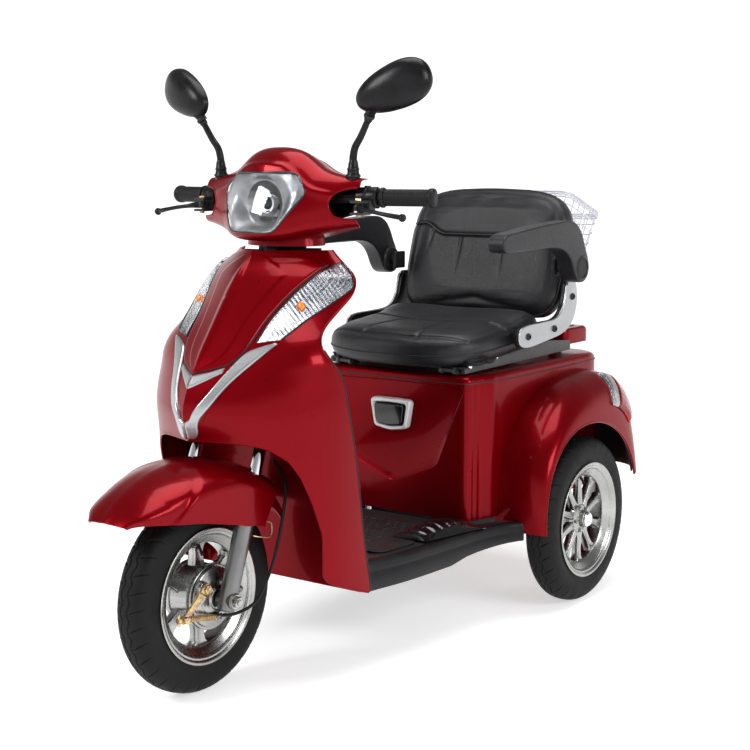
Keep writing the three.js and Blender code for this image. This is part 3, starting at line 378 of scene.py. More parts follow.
RIBBED = clear_plastic("ribbed_lens", (0.93, 0.95, 0.98), 0.03, 0.08)
FACETS = chrome_facets("reflector_chrome", 0.26, 0.5, (0.2, 0.28))
BOWL = chrome_facets("bowl_chrome", 0.3, 0.46, (0.36, 0.46))
RIBS = lamp_ribs()
AMBER = amber()
TAIL_RED = clear_plastic("red_lens", (0.75, 0.03, 0.03), 0.05, 0.1)
WIRE = white_wire()
GLASS = mirror_glass()
MAT = floor_rubber()

# The material slot name for each look; an AMBER piece has none.
SLOT_OF = {
    RED: "red_paint", TYRE: "tyre", RUBBER: "black_rubber", MAT: "black_rubber", PLASTIC: "black_plastic",
    SATIN: "black_plastic", GLOSS: "black_gloss", LEATHER: "leather", ALLOY: "alloy", FORK: "fork",
    CHROME: "chrome", BEZEL: "chrome", FACETS: "chrome", BOWL: "chrome", RIBS: "chrome", GLASS: "chrome",
    SILVER: "silver", ZINC: "zinc", STEEL: "dark_steel", CLEAR: "clear_lens", RIBBED: "clear_lens",
    TAIL_RED: "clear_lens", WIRE: "white_wire",
}


# --- number helpers
def lerp(a, b, t):
    return a + (b - a) * t


def step(t):
    """0 below 0, 1 above 1, and a smooth rise between."""
    t = min(1.0, max(0.0, t))
    return t * t * (3 - 2 * t)


def table(rows, key, column=1):
    """Straight-line reading of [key, value...] rows."""
    if key <= rows[0][0]:
        return rows[0][column]
    for a, b in zip(rows, rows[1:]):
        if key <= b[0]:
            return lerp(a[column], b[column], (key - a[0]) / (b[0] - a[0]))
    return rows[-1][column]


def smooth(rows, key, column=1, reach=12.0):
    """The same rows read through a soft curve."""
    return sum(table(rows, key + t * reach, column) for t in (-2, -1, 0, 1, 2)) / 5


def bezier(p, t):
    s = 1 - t
    a, b, c, d = s * s * s, 3 * s * s * t, 3 * s * t * t, t * t * t
    return (
        a * p[0][0] + b * p[1][0] + c * p[2][0] + d * p[3][0],
        a * p[0][1] + b * p[1][1] + c * p[2][1] + d * p[3][1],
    )


def spline(points, per=8, closed=False):
    """A smooth line through the points, with `per` steps from each to the next."""
    p = [np.array(q, float) for q in points]
    n = len(p)
    if closed:
        p = [p[-1], *p, p[0], p[1]]
    else:
        p = [2 * p[0] - p[1], *p, 2 * p[-1] - p[-2]]
    out = []
    for i in range(n if closed else n - 1):
        a, b, c, d = p[i : i + 4]
        t0 = 0.0
        t1 = t0 + max(1e-6, np.linalg.norm(b - a)) ** 0.5
        t2 = t1 + max(1e-6, np.linalg.norm(c - b)) ** 0.5
        t3 = t2 + max(1e-6, np.linalg.norm(d - c)) ** 0.5
        for k in range(per):
            t = lerp(t1, t2, k / per)
            ab = a * (t1 - t) / (t1 - t0) + b * (t - t0) / (t1 - t0)
            bc = b * (t2 - t) / (t2 - t1) + c * (t - t1) / (t2 - t1)
            cd = c * (t3 - t) / (t3 - t2) + d * (t - t2) / (t3 - t2)
            abc = ab * (t2 - t) / (t2 - t0) + bc * (t - t0) / (t2 - t0)
            bcd = bc * (t3 - t) / (t3 - t1) + cd * (t - t1) / (t3 - t1)
            out.append(abc * (t2 - t) / (t2 - t1) + bcd * (t - t1) / (t2 - t1))
    if not closed:
        out.append(np.array(points[-1], float))
    return out


def even(points, count, closed=False):
    """The same line as `count` points at even distances."""
    p = np.array(points, float)
    if closed:
        p = np.vstack([p, p[:1]])
    d = np.concatenate([[0], np.cumsum(np.linalg.norm(np.diff(p, axis=0), axis=1))])
    at = np.linspace(0, d[-1], count, endpoint=not closed)
    return np.stack([np.interp(at, d, p[:, k]) for k in range(p.shape[1])], axis=1)


def rounded(outline, reach, steps=5):
    """A closed outline with each corner eased over `reach`."""
    out = []
    n = len(outline)
    for i in range(n):
        p, a, b = (np.array(outline[k % n], float) for k in (i, i - 1, i + 1))
        da, db = a - p, b - p
        la, lb = np.linalg.norm(da), np.linalg.norm(db)
        s = p + da / la * min(reach, 0.45 * la)
        e = p + db / lb * min(reach, 0.45 * lb)
        for k in range(steps + 1):
            t = k / steps
            out.append((1 - t) ** 2 * s + 2 * t * (1 - t) * p + t * t * e)
    return out


def mirrored(outline):
    """A closed outline from its +X half, given from the bottom up."""
    return [*outline, *[(-x, z) for x, z in reversed(outline) if x > 0.01]]


# --- shapes: (points, faces)
def joined(*shapes):
    points, faces, base = [], [], 0
    for p, f in shapes:
        points.append(np.asarray(p, float))
        faces += [tuple(i + base for i in face) for face in f]
        base += len(p)
    return np.vstack(points), faces


def grid(rows, wrap_u=False, wrap_v=False, caps=False):
    """A surface over rows of points; its front is where u x v points."""
    rows = np.asarray(rows, float)
    nv, nu = rows.shape[:2]
    faces = []
    for j in range(nv if wrap_v else nv - 1):
        for i in range(nu if wrap_u else nu - 1):
            a, b = j * nu + i, j * nu + (i + 1) % nu
            c, d = (j + 1) % nv * nu + (i + 1) % nu, (j + 1) % nv * nu + i
            faces.append((a, b, c, d))
    if caps:
        faces.append(tuple(reversed(range(nu))))
        faces.append(tuple((nv - 1) * nu + i for i in range(nu)))
    return rows.reshape(-1, 3), faces


def lifted(rows, offset):
    """The rows moved along their own normals, by one distance or one for each point."""
    rows = np.asarray(rows, float)
    n = np.cross(np.gradient(rows, axis=1), np.gradient(rows, axis=0))
    n /= np.linalg.norm(n, axis=2, keepdims=True) + 1e-9
    return rows + n * (np.asarray(offset, float)[..., None] if np.ndim(offset) else offset)


def slab_between(top, bottom):
    """A closed solid between two grids of the same size."""
    top, bottom = np.asarray(top, float), np.asarray(bottom, float)
    nv, nu = top.shape[:2]
    border = (
        [(0, i) for i in range(nu)]
        + [(j, nu - 1) for j in range(1, nv)]
        + [(nv - 1, i) for i in range(nu - 2, -1, -1)]
        + [(j, 0) for j in range(nv - 2, 0, -1)]
    )
    rim = grid([[bottom[b] for b in border], [top[b] for b in border]], wrap_u=True)
    return joined(grid(top), grid(bottom[:, ::-1]), rim)


def slab(rows, high, low):
    """A closed sheet between two offsets from a grid of points."""
    return slab_between(lifted(rows, high), lifted(rows, low))


def placed(shape, matrix):
    points, faces = shape
    m = np.array(matrix, float)
    return points @ m[:3, :3].T + m[:3, 3], faces


def moved(shape, x=0.0, y=0.0, z=0.0):
    return shape[0] + np.array([x, y, z], float), shape[1]


def flipped(shape):
    """The mirror image across X = 0."""
    points, faces = shape
    return points * np.array([-1, 1, 1]), [tuple(reversed(f)) for f in faces]


def both(shape):
    """The shape together with its mirror image."""
    return joined(shape, flipped(shape))


def sided(shape, sign):
    """The shape on the left for +1, its mirror image on the right for -1."""
    return shape if sign > 0 else flipped(shape)


def prism(outline, low, high, axis):
    """A flat outline as a plate between two levels along an axis."""
    put = {
        "X": lambda a, b, t: (t, a, b), "Y": lambda a, b, t: (a, t, b), "Z": lambda a, b, t: (a, b, t)
    }[axis]
    return grid([[put(a, b, t) for a, b in outline] for t in (low, high)], wrap_u=True, caps=True)


def block(x0, x1, y0, y1, z0, z1):
    return prism([(x0, y0), (x1, y0), (x1, y1), (x0, y1)], z0, z1, "Z")


def turned(profile, at, along, sides=48, loop=False):
    """A profile of (radius, distance) points turned about the line from `at` towards `along`."""
    at = np.array(at, float)
    d = np.array(along, float)
    d /= np.linalg.norm(d)
    side = np.cross(d, (0, 0, 1) if abs(d[2]) < 0.9 else (0, 1, 0))
    side /= np.linalg.norm(side)
    up = np.cross(d, side)
    rows = []
    for k in range(sides):
        a = 2 * math.pi * k / sides
        out = side * math.cos(a) + up * math.sin(a)
        rows.append([at + d * s + out * max(r, 0.0) for r, s in profile])
    return grid(rows, wrap_u=loop, wrap_v=True)


def rod(a, b, radius, sides=24, ease=0.8):
    """A round bar from a to b with eased ends."""
    a, b = np.array(a, float), np.array(b, float)
    n = np.linalg.norm(b - a)
    e = min(ease, 0.4 * n, 0.6 * radius)
    profile = [(0, 0), (radius - e, 0), (radius, e), (radius, n - e), (radius - e, n), (0, n)]
    return turned(profile, a, b - a, sides)


def hexagon(a, b, radius):
    """A hexagonal nut or bolt head from a to b."""
    a, b = np.array(a, float), np.array(b, float)
    n = np.linalg.norm(b - a)
    profile = [(0, 0), (radius, 0), (radius, n * 0.8), (radius * 0.88, n), (0, n)]
    return turned(profile, a, b - a, 6)


def tube(path, radius, sides=14, closed=False):
    """A round section carried along a line, with one radius or one for each point."""
    p = np.array(path, float)
    r = np.broadcast_to(np.asarray(radius, float), (len(p),))
    if closed:
        t = np.roll(p, -1, axis=0) - np.roll(p, 1, axis=0)
    else:
        t = np.gradient(p, axis=0)
    t /= np.linalg.norm(t, axis=1, keepdims=True) + 1e-12
    side = np.cross(t[0], (0, 0, 1) if abs(t[0][2]) < 0.9 else (0, 1, 0))
    rows = []
    for k in range(len(p)):
        side = side - t[k] * np.dot(side, t[k])
        side /= np.linalg.norm(side) + 1e-12
        up = np.cross(t[k], side)
        a = np.linspace(0, 2 * math.pi, sides, endpoint=False)
        rows.append(p[k] + r[k] * (np.outer(np.cos(a), side) + np.outer(np.sin(a), up)))
    return grid(rows, wrap_u=True, wrap_v=closed, caps=not closed)


def egg(centre, radii, sides=24, rings=14):
    """A rounded solid with its own half size in each direction."""
    profile = [(math.sin(math.pi * k / rings), -math.cos(math.pi * k / rings)) for k in range(rings + 1)]
    shape = turned(profile, (0, 0, 0), (0, 0, 1), sides)
    return shape[0] * np.array(radii, float) + np.array(centre, float), shape[1]


# --- pieces
def settle(obj, sharp=35.0):
    """Applies an object's modifiers and shades it smooth between sharp edges."""
    graph = bpy.context.evaluated_depsgraph_get()
    made = bpy.data.meshes.new_from_object(obj.evaluated_get(graph))
    obj.modifiers.clear()
    obj.data = made
    made.shade_smooth()
    made.set_sharp_from_angle(angle=math.radians(sharp))


def raw_object(name, shape, shell=False):
    points, faces = shape
    mesh = bpy.data.meshes.new(name)
    mesh.from_pydata((points * MM).tolist(), [], faces)
    bm = bmesh.new()
    bm.from_mesh(mesh)
    bmesh.ops.remove_doubles(bm, verts=bm.verts, dist=2e-6)
    bmesh.ops.dissolve_degenerate(bm, edges=bm.edges, dist=1e-6)
    if not shell:
        bmesh.ops.recalc_face_normals(bm, faces=bm.faces)
    bm.to_mesh(mesh)
    bm.free()
    obj = bpy.data.objects.new(name, mesh)
    scene.collection.objects.link(obj)
    return obj


def piece(
    name, shape, material, body, replaces=(), shell=0.0, bevel=0.0, round_steps=3, sharp=35.0, cutters=(),
    slot=None,
):
    """One named piece: thickness inwards for an open shell, cuts, eased edges, then its place."""
    obj = raw_object(name, shape, shell > 0)
    if shell:
        solid = obj.modifiers.new("shell", "SOLIDIFY")
        solid.thickness = shell * MM
        solid.offset = -1
    for tool_shape in cutters:
        tool = raw_object(name + "_tool", tool_shape)
        cut = obj.modifiers.new("cut", "BOOLEAN")
        cut.object = tool
        cut.operation = "DIFFERENCE"
        cut.solver = "EXACT"
        tool.hide_render = True
    if bevel:
        ease = obj.modifiers.new("ease", "BEVEL")
        ease.width = bevel * MM
        ease.segments = round_steps
        ease.limit_method = "ANGLE"
        ease.angle_limit = math.radians(30)
    tools = [m.object for m in obj.modifiers if m.type == "BOOLEAN"]
    settle(obj, sharp)
    for tool in tools:
        bpy.data.objects.remove(tool)
    obj.data.materials.clear()
    obj.data.materials.append(material)
    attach(obj, body)
    slot = slot or SLOT_OF.get(material)
    if replaces:
        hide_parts(*replaces)
    return obj


# --- leg shield
# Rows: height, then the plan section there: centre line y, slope of the middle, half width,
# y of the rear edge, and how far in and forward of that edge the section starts to turn.
SHIELD = [
    (170, -550, 0.4, 218, -290, 0, 220),
    (300, -570, 0.4, 222, -322, 0, 210),
    (441, -590, 0.42, 225, -346, 0, 190),
    (526, -606, 0.45, 228, -368, 0, 150),
    (560, -622, 0.45, 228, -378, 0, 135),
    (600, -618, 0.45, 228, -387, 0, 120),
    (652, -588, 0.45, 225, -402, 5, 90),
    (690, -556, 0.45, 212, -440, 15, 60),
    (720, -534, 0.45, 188, -430, 25, 50),
    (760, -505, 0.45, 190, -372, 30, 50),
    (816, -463, 0.45, 208, -305, 30, 45),
    (857, -428, 0.45, 168, -300, 28, 35),
    (885, -388, 0.3, 104, -284, 8, 45),
]
SHIELD_Z = (170, 885)
# The wheel arch in the side view: height, then y of its edge.
ARCH = [
    (170, -297), (181, -330), (206, -395), (218, -418), (234, -428), (322, -437), (391, -462), (442, -484),
    (478, -504), (504, -531), (514, -555), (518, -600),
]
ARCH_TOP = 518


def shield_row(z):
    centre, slope, half_w, edge, inset, turn = (smooth(SHIELD, z, c) for c in range(1, 7))
    return (0, centre, 0.5 * half_w, centre + slope * 0.5 * half_w, half_w - inset, edge - turn, half_w, edge)


# One row for each millimetre of height, since thousands of points are read from them.
SHIELD_ROWS = [shield_row(z) for z in range(SHIELD_Z[0], SHIELD_Z[1] + 2)]


def shield_section(z):
    i = min(int(z) - SHIELD_Z[0], len(SHIELD_ROWS) - 2)
    f = z - SHIELD_Z[0] - i
    r = [a + (b - a) * f for a, b in zip(SHIELD_ROWS[i], SHIELD_ROWS[i + 1])]
    return ((r[0], r[1]), (r[2], r[3]), (r[4], r[5]), (r[6], r[7]))


def on_shield(z, t):
    x, y = bezier(shield_section(z), t)
    return np.array((x, y, z))


def solve(f, target, low, high):
    """Where a rising function reaches a value."""
    for _ in range(20):
        mid = (low + high) / 2
        low, high = (mid, high) if f(mid) < target else (low, mid)
    return (low + high) / 2


def shield_normal(z, t):
    h = 0.004
    du = on_shield(z, min(1, t + h)) - on_shield(z, max(0, t - h))
    up, down = min(SHIELD_Z[1], z + 1), max(SHIELD_Z[0], z - 1)
    dv = on_shield(up, t) - on_shield(down, t)
    n = [du[1] * dv[2] - du[2] * dv[1], du[2] * dv[0] - du[0] * dv[2], du[0] * dv[1] - du[1] * dv[0]]
    if t < 1e-6:
        n[0] = 0
    return np.array(n) / math.sqrt(n[0] ** 2 + n[1] ** 2 + n[2] ** 2)


def shield_frame(x, z):
    """The shield's point and outward normal at a distance from the centre line and a height."""
    section = shield_section(z)
    t = solve(lambda k: bezier(section, k)[0], abs(x), 0, 0.96)
    side = np.array((1 if x >= 0 else -1, 1, 1))
    return on_shield(z, t) * side, shield_normal(z, t) * side


def shield_at(x, z, off=0.0):
    p, n = shield_frame(x, z)
    return p + off * n


shield_heights = sorted(
    [
        *np.linspace(170, 240, 21), *np.linspace(252, 470, 17), *np.linspace(480, 512, 9), 515, 517, 518,
        *np.linspace(523, 885, 64),
    ]
)
shield_rows = []
for z in shield_heights:
    inner = 0.0
    if z < ARCH_TOP:
        section = shield_section(z)
        inner = solve(lambda k: bezier(section, k)[1], table(ARCH, z), 0, 1)
    shield_rows.append([on_shield(z, lerp(inner, 1, s)) for s in np.linspace(0, 1, 40)])
half = grid(shield_rows)
piece("leg_shield_skin", both(half), RED, "chassis", ["leg_shield"], shell=3.5)

# A rolled edge runs down the shield's rear edge and round the wheel arch.
edge_line = [on_shield(z, 1.0) + np.array((-2.2, 0, 0)) for z in np.linspace(172, 884, 80)]
arch_line = []
for z, row in zip(shield_heights, shield_rows):
    if z <= ARCH_TOP:
        arch_line.append(row[0] + np.array((-1.5, 1.8, 0)))
rolls = [tube(edge_line, 2.6, 8), tube(arch_line, 2.4, 8)]
rolls = joined(*rolls, *[flipped(r) for r in rolls])
piece("leg_shield_edges", rolls, RED, "chassis", sharp=60)
trim_line = [p + np.array((0.6, 4.2, 0)) for p in edge_line if p[2] < 700]
edge_trim = tube(trim_line, 2.3, 8)
piece("leg_shield_edge_trim", both(edge_trim), PLASTIC, "chassis", sharp=60)


def patch(curve_a, curve_b, high, low, count=60, across=16):
    """A moulding on the shield between two lines of (x, z); high(s, w) is its height."""
    a, b = even(curve_a, count), even(curve_b, count)
    top, bottom = [], []
    for i in range(count):
        s = i / (count - 1)
        top_row, bottom_row = [], []
        for w in np.linspace(0, 1, across):
            x, z = lerp(a[i], b[i], w)
            p, n = shield_frame(x, z)
            top_row.append(p + n * high(s, w))
            bottom_row.append(p + n * low)
        top.append(top_row)
        bottom.append(bottom_row)
    return slab_between(top, bottom)


def quarter(t):
    """A quarter circle's height: 0 at 0, steep at first, and 1 from 1 on."""
    return math.sqrt(max(0.0, 1 - (1 - min(1, t)) ** 2))


def domed(height, base, edge=0.12, ends=0.0):
    """A height that rises from a base at the sides of a band to its full height."""
    def at(s, w):
        end = quarter(min(s, 1 - s) / ends) if ends else 1.0
        return base + (height - base) * quarter(min(w, 1 - w) / edge) * end
    return at


NOSE_EDGE = spline(
    [(0, 651), (30, 658), (56, 667), (74, 684), (83, 706), (90, 748), (108, 799), (130, 840), (138, 856)], 8
)
NOSE_TOP = spline([(138, 856), (104, 872), (50, 881), (0, 882)], 8)
nose_outline = [*NOSE_EDGE[:-1], *NOSE_TOP]


def nose_height(s, w):
    """w runs from the centre line to the outline: a ridge down the middle and creased flanks."""
    edge = math.sqrt(max(0.0, 1 - max(0.0, (w - 0.93) / 0.07) ** 2))
    ridge = 2.6 * math.exp(-((w / 0.07) ** 2)) * step(s * 4) * step((1 - s) * 6)
    flank = 1.8 * step((0.62 - w) / 0.05) * step(s * 5) * step((1 - s) * 4)
    return -0.6 + edge * (4.2 + ridge + flank)


nose_half = patch([(0, 651), (0, 882)], nose_outline, nose_height, -1.5, 90, 40)
piece("nose_panel_skin", both(nose_half), RED, "chassis", ["nose_panel"], sharp=50)

# A dark tube in the joint round the nose panel is painted shade, standing in for the shadow in the gap.
nose_shade_line = [shield_at(x, z, 0.3) for x, z in even(NOSE_EDGE, 60)]
nose_shade_line = tube(nose_shade_line, 1.9, 8)
piece("nose_panel_seam", both(nose_shade_line), PLASTIC, "chassis")

V_LOW = spline([(0, 520), (14, 521), (22, 530), (28, 556), (49, 587), (80, 639), (118, 687), (136, 708)], 8)
V_HIGH = spline([(0, 556), (10, 562), (18, 578), (42, 616), (60, 652), (82, 690), (100, 700), (134, 710)], 8)
v_half = patch(V_LOW, V_HIGH, domed(5.0, -0.6, 0.16, 0.03), -1.5, 90, 18)
piece("v_trim_skin", both(v_half), SILVER, "chassis", ["v_trim"], sharp=50)

chevron = patch(
    [(0, 620), (30, 637), (55, 652)], [(0, 647), (30, 654), (56, 663)], domed(3.0, -0.4, 0.2, 0.04), -1.0, 30,
    12
)
piece("chevron_skin", both(chevron), SILVER, "chassis", ["chevron_trim"], sharp=50)

LENS_IN = spline([(94, 709), (96, 724), (98, 750), (106, 778), (116, 803), (136, 840), (151, 859)], 8)
LENS_OUT = spline(
    [(137, 716), (148, 734), (158, 753), (178, 781), (197, 812), (197, 824), (178, 845), (155, 859)], 8
)
lens_high = domed(6.0, 1.2, 0.1, 0.05)


def fluted(s, w):
    """Narrow ribs that run along the lens."""
    return lens_high(s, w) + 0.45 * math.sin(w * 2 * math.pi * 9) * min(1, 12 * w, 12 * (1 - w))


for side, sign in SIDES:
    lens = patch(LENS_IN, LENS_OUT, fluted, 0.9, 80, 90)
    piece(f"turn_lens_{side}_clear", sided(lens, sign), RIBBED, "chassis", [f"turn_lens_{side}"], sharp=60)
    back = patch(
        LENS_IN, LENS_OUT, lambda s, w: 0.6 + 0.5 * math.sin(s * 150) * math.sin(w * 40), -1.0, 110, 30
    )
    piece(f"turn_lens_{side}_reflector", sided(back, sign), RIBS, "chassis", sharp=30)
    # A dark tube round each lens is painted shade, standing in for the shadow in the gap at its edge.
    rim = tube([shield_at(x, z, 0.5) for x, z in even([*LENS_IN, *LENS_OUT[::-1]], 150)], 1.7, 8)
    piece(f"turn_lens_{side}_painted_shade", sided(rim, sign), PLASTIC, "chassis")
    bulb = shield_at(136, 776, 0.4)
    amber_shape = egg(bulb, (11, 7, 12), 20, 10)
    piece(f"turn_lens_{side}_bulb", sided(amber_shape, sign), AMBER, "chassis")

# --- inner panel and splash guard
INNER_BULGE = [(210, 76), (300, 76), (441, 60), (600, 50), (690, 92), (760, 40), (816, 16), (880, 6)]
inner_rows = []
for z in np.linspace(879, 234, 90):
    half_w, edge, bulge = smooth(SHIELD, z, 3) - 4, smooth(SHIELD, z, 4) + 6, smooth(INNER_BULGE, z)
    row = []
    for side in np.linspace(-1, 1, 61):
        x = side * half_w
        lid = 0.0
        if 540 < z < 700:
            frame_w = abs(abs(x) - 118) < 2.6 or (abs(x) < 118 and min(abs(z - 548), abs(z - 692)) < 4)
            lid = -2.2 if frame_w else 0.0
        row.append((x, edge + bulge * (1 - side * side) + 1 + lid, z))
    inner_rows.append(row)
piece("inner_panel_skin", slab(inner_rows, 0, -3), PLASTIC, "chassis", ["inner_panel"])


# --- front fender
# Rows: angle above the forward horizontal seen from the axle, crest radius, half width, lower
# edge radius.
FENDER = [
    (38, 316, 40, 306),
    (40, 315, 60, 298),
    (44, 311, 80, 270),
    (52, 304, 93, 231),
    (60, 296, 99, 205),
    (72, 286, 105, 177),
    (84, 279, 110, 161),
    (100, 274, 114, 151),
    (119, 270, 114, 159),
]
FENDER_TAIL = [(114, 268, 80, 196), (121, 267, 72, 206), (135, 264, 65, 226), (150, 260, 56, 238)]
SHOULDER = 0.62


def round_point(phi, r, x, axle_y):
    a = math.radians(phi)
    return (x, axle_y - r * math.cos(a), TYRE_R + r * math.sin(a))


def fender_point(rows, phi, side, ear):
    crest, half_w, low = (smooth(rows, phi, c, 1.6) for c in (1, 2, 3))
    across = min(1, abs(side) / SHOULDER)
    down = min(1, max(0, (abs(side) - SHOULDER) / (1 - SHOULDER)))
    shoulder = crest - min(46, 0.6 * (crest - low))
    x = half_w * math.sin(across * math.pi / 2) ** 0.9
    r = lerp(shoulder, low, down)
    if down == 0:
        r = shoulder + (crest - shoulder) * math.cos(across * math.pi / 2)
    if ear:
        # The ears over the fork legs stand out below a creased line that rises to the rear.
        crease = lerp(246, 297, step((phi - 49) / 46))
        x += 6.5 * step((crease - r) / 7) * step((phi - 47) / 6) - 2.5 * down * step((phi - 47) / 8)
        r += 1.6 * math.exp(-((abs(side) / 0.05) ** 2))
    return round_point(phi, r, math.copysign(x, side), FRONT_AXLE_Y)


fender_rows = [
    [fender_point(FENDER, phi, side, True) for side in np.linspace(-1, 1, 121)]
    for phi in np.linspace(38, 119, 110)
]
piece("front_fender_skin", slab(fender_rows, 0, -3), RED, "fork_lowers", ["front_fender"], sharp=40)
tail_rows = [
    [fender_point(FENDER_TAIL, phi, side, False) for side in np.linspace(-1, 1, 61)]
    for phi in np.linspace(114, 150, 40)
]
piece("front_fender_tail", slab(tail_rows, 0, -3), RED, "fork_lowers", sharp=40)


# --- fork and steering stem
def on_steering(s, x=0.0, back=0.0):
    return np.array(
        (
            x,
            FRONT_AXLE_Y + s * math.sin(RAKE) + back * math.cos(RAKE),
            TYRE_R + s * math.cos(RAKE) - back * math.sin(RAKE),
        )
    )


UP_FORK = on_steering(1) - on_steering(0)
AXLE = np.array((0, FRONT_AXLE_Y, TYRE_R))
for side, sign in SIDES:
    profile = [
        (0, -24), (12, -24), (17, -20), (19, -12), (19, 222), (20, 226), (21.5, 229), (21.5, 243), (19, 246)
    ]
    profile += [(14.2, 246), (14.2, 120), (0, 120)]
    leg = turned(profile, on_steering(0, FORK_X), UP_FORK, 48)
    lug = rod(AXLE + (FORK_X - 21, 0, 0), AXLE + (FORK_X + 21, 0, 0), 17, 32, 2.5)
    ear = rod(on_steering(26, FORK_X, 16), on_steering(26, FORK_X, 27), 9, 24, 1)
    piece(
        f"fork_slider_{side}_body", sided(joined(leg, lug, ear), sign), FORK, "fork_lowers",
        [f"fork_slider_{side}"]
    )
    seal = turned(
        [(14.4, 0), (20, 0), (20.5, 3), (17, 8), (14.4, 9)], on_steering(246, FORK_X), UP_FORK, 40, loop=True
    )
    piece(f"fork_seal_{side}", sided(seal, sign), RUBBER, "fork_lowers")
    chrome_tube = rod(on_steering(252, FORK_X), on_steering(352, FORK_X), 13.2, 40, 0.3)
    piece(f"stanchion_{side}_sleeve", sided(chrome_tube, sign), CHROME, "steering")
    washer = rod(AXLE + (FORK_X + 20.5, 0, 0), AXLE + (FORK_X + 23.5, 0, 0), 15, 32, 0.6)
    nut = hexagon(AXLE + (FORK_X + 23, 0, 0), AXLE + (FORK_X + 31, 0, 0), 12)
    bolt = rod(AXLE + (FORK_X + 29, 0, 0), AXLE + (FORK_X + 34, 0, 0), 6, 20, 1)
    pinch = hexagon(on_steering(26, FORK_X, 26), on_steering(26, FORK_X, 33), 7)
    piece(
        f"front_axle_nut_{side}", sided(joined(washer, nut, bolt, pinch), sign), ALLOY, "fork_lowers",
        slot="zinc"
    )

# --- wheels
TREAD_REPEATS = 34
TREAD_DEPTH = 3.0
TREAD_FROM_R, TREAD_FADE = 176, 8
TYRE_STEPS, SECTION_STEPS = 576, 60
SECTION_H = 44  # from the widest part of the side wall to the crown


def tyre_shape():
    """A tyre about the X axis with a cut tread, as if its centre were the origin."""
    outside = []
    for i in range(SECTION_STEPS + 1):
        a = math.pi * i / SECTION_STEPS
        flat = math.copysign(abs(math.cos(a)) ** 0.8, math.cos(a))
        outside.append((TYRE_R - SECTION_H + SECTION_H * math.sin(a) ** 0.75, -TYRE_HALF_W * flat))
    profile = [(TYRE_BEAD_R + 5, -31), (134, -34.5), (139, -35), (RIM_R + 3, -35.2), *outside]
    profile += [(RIM_R + 3, 35.2), (139, 35), (134, 34.5), (TYRE_BEAD_R + 5, 31)]
    rows = []
    for k in range(TYRE_STEPS):
        a = 2 * math.pi * k / TYRE_STEPS
        # The middle grooves wander, and the cross grooves of the two sides are half a repeat apart.
        weave = 0.08 * math.sin(2 * math.pi * k / TYRE_STEPS * TREAD_REPEATS)
        ring = []
        for r, along in profile:
            lateral = along / TYRE_HALF_W
            crown = step((r - TREAD_FROM_R) / TREAD_FADE)
            shift = 0.55 * abs(lateral) + (0.5 if lateral > 0 else 0)
            phase = (k / TYRE_STEPS * TREAD_REPEATS + shift) % 1.0
            cross = step(1 - abs(phase - 0.5) / 0.06) * step((abs(lateral) - 0.3) / 0.06)
            middle = max(step(1 - abs(lateral - weave + at) / 0.055) for at in (-0.22, 0.22))
            ribs = 0.5 * step(1 - abs(r - 160) / 1.6) + 0.5 * step(1 - abs(r - 154) / 1.2)
            r += ribs - TREAD_DEPTH * crown * max(cross, middle)
            ring.append((along, r * math.cos(a), r * math.sin(a)))
        rows.append(ring)
    return grid(rows, wrap_u=True, wrap_v=True)


def rim_barrel():
    half = [
        (106, 0), (106, 17), (109, 21), (122, 27), (125, 30), (127, 33.5), (131, 34), (133, 36.5),
        (137, 38.6), (140.5, 38.4), (RIM_R, 36.5), (139.5, 35), (135, 34.2), (TYRE_BEAD_R - 1, 31), (122, 14),
        (121, 0),
    ]
    profile = half + [(r, -s) for r, s in half[::-1] if s > 0]
    return turned(profile, (0, 0, 0), (1, 0, 0), 144, loop=True)


def spoke(x0, x1, stations):
    """A cast spoke along +Z: stations are (height, half width, how far its faces draw in)."""
    rows = []
    for z, half_w, draw in stations:
        a, b = x0 + draw, x1 - draw
        ring = [
            (a, -half_w * 0.7), (a, half_w * 0.7), (lerp(a, b, 0.3), half_w), (lerp(a, b, 0.8), half_w),
            (b, half_w * 0.8), (b - 2, half_w * 0.3), (b - 2, -half_w * 0.3), (b, -half_w * 0.8),
            (lerp(a, b, 0.8), -half_w), (lerp(a, b, 0.3), -half_w),
        ]
        rows.append([(x, y, z) for x, y in ring])
    return grid(rows, wrap_u=True, caps=True)


def round_x(shape, count, start=0.0):
    turns = [Matrix.Rotation(start + 2 * math.pi * k / count, 4, "X") for k in range(count)]
    return joined(*[placed(shape, turn) for turn in turns])


def wheel_piece(name, shape, material, body, replaces, centre, mirror=False, **kw):
    shape = flipped(shape) if mirror else shape
    return piece(name, moved(shape, *centre), material, body, replaces, **kw)


def valve_shape(foot, middle, tip):
    return joined(rod(foot, middle, 3, 14), rod(middle, tip, 3.6, 14))


ORIGIN, ACROSS = (0, 0, 0), (1, 0, 0)
TREAD = tyre_shape()
BARREL = rim_barrel()
front_centre = (0, FRONT_AXLE_Y, TYRE_R)
wheel_piece("front_tyre_treaded", TREAD, TYRE, "front_wheel", ["front_tyre"], front_centre, sharp=28)
arms = round_x(
    spoke(-13, 12, [(58, 19, 0), (68, 15.5, 1), (86, 13.5, 2), (98, 16, 1), (104, 23, 0), (110, 30, 0)]), 6
)
drum = turned(
    [
        (7, -40), (22, -40), (25, -38), (27, -33), (40, -31), (62, -27), (66, -24), (66, -14), (64, -12),
        (64, 30), (66, 32), (67.5, 34), (67.5, 43), (66, 44.5), (61, 44.5), (60, 42), (60, 36), (7, 34),
    ],
    ORIGIN, ACROSS, 96, loop=True,
)
valve = valve_shape((8, 0, 102), (16, 0, 88), (20, 0, 81))
hub_bolts = round_x(hexagon((-31, 0, 47), (-36, 0, 47), 6), 6, 0.3)
front_wheel_metal = joined(BARREL, arms, drum, hub_bolts)
wheel_piece(
    "front_rim_cast", front_wheel_metal, ALLOY, "front_wheel", ["front_rim"], front_centre, bevel=0.8,
    round_steps=2
)
wheel_piece("front_valve", valve, RUBBER, "front_wheel", (), front_centre)

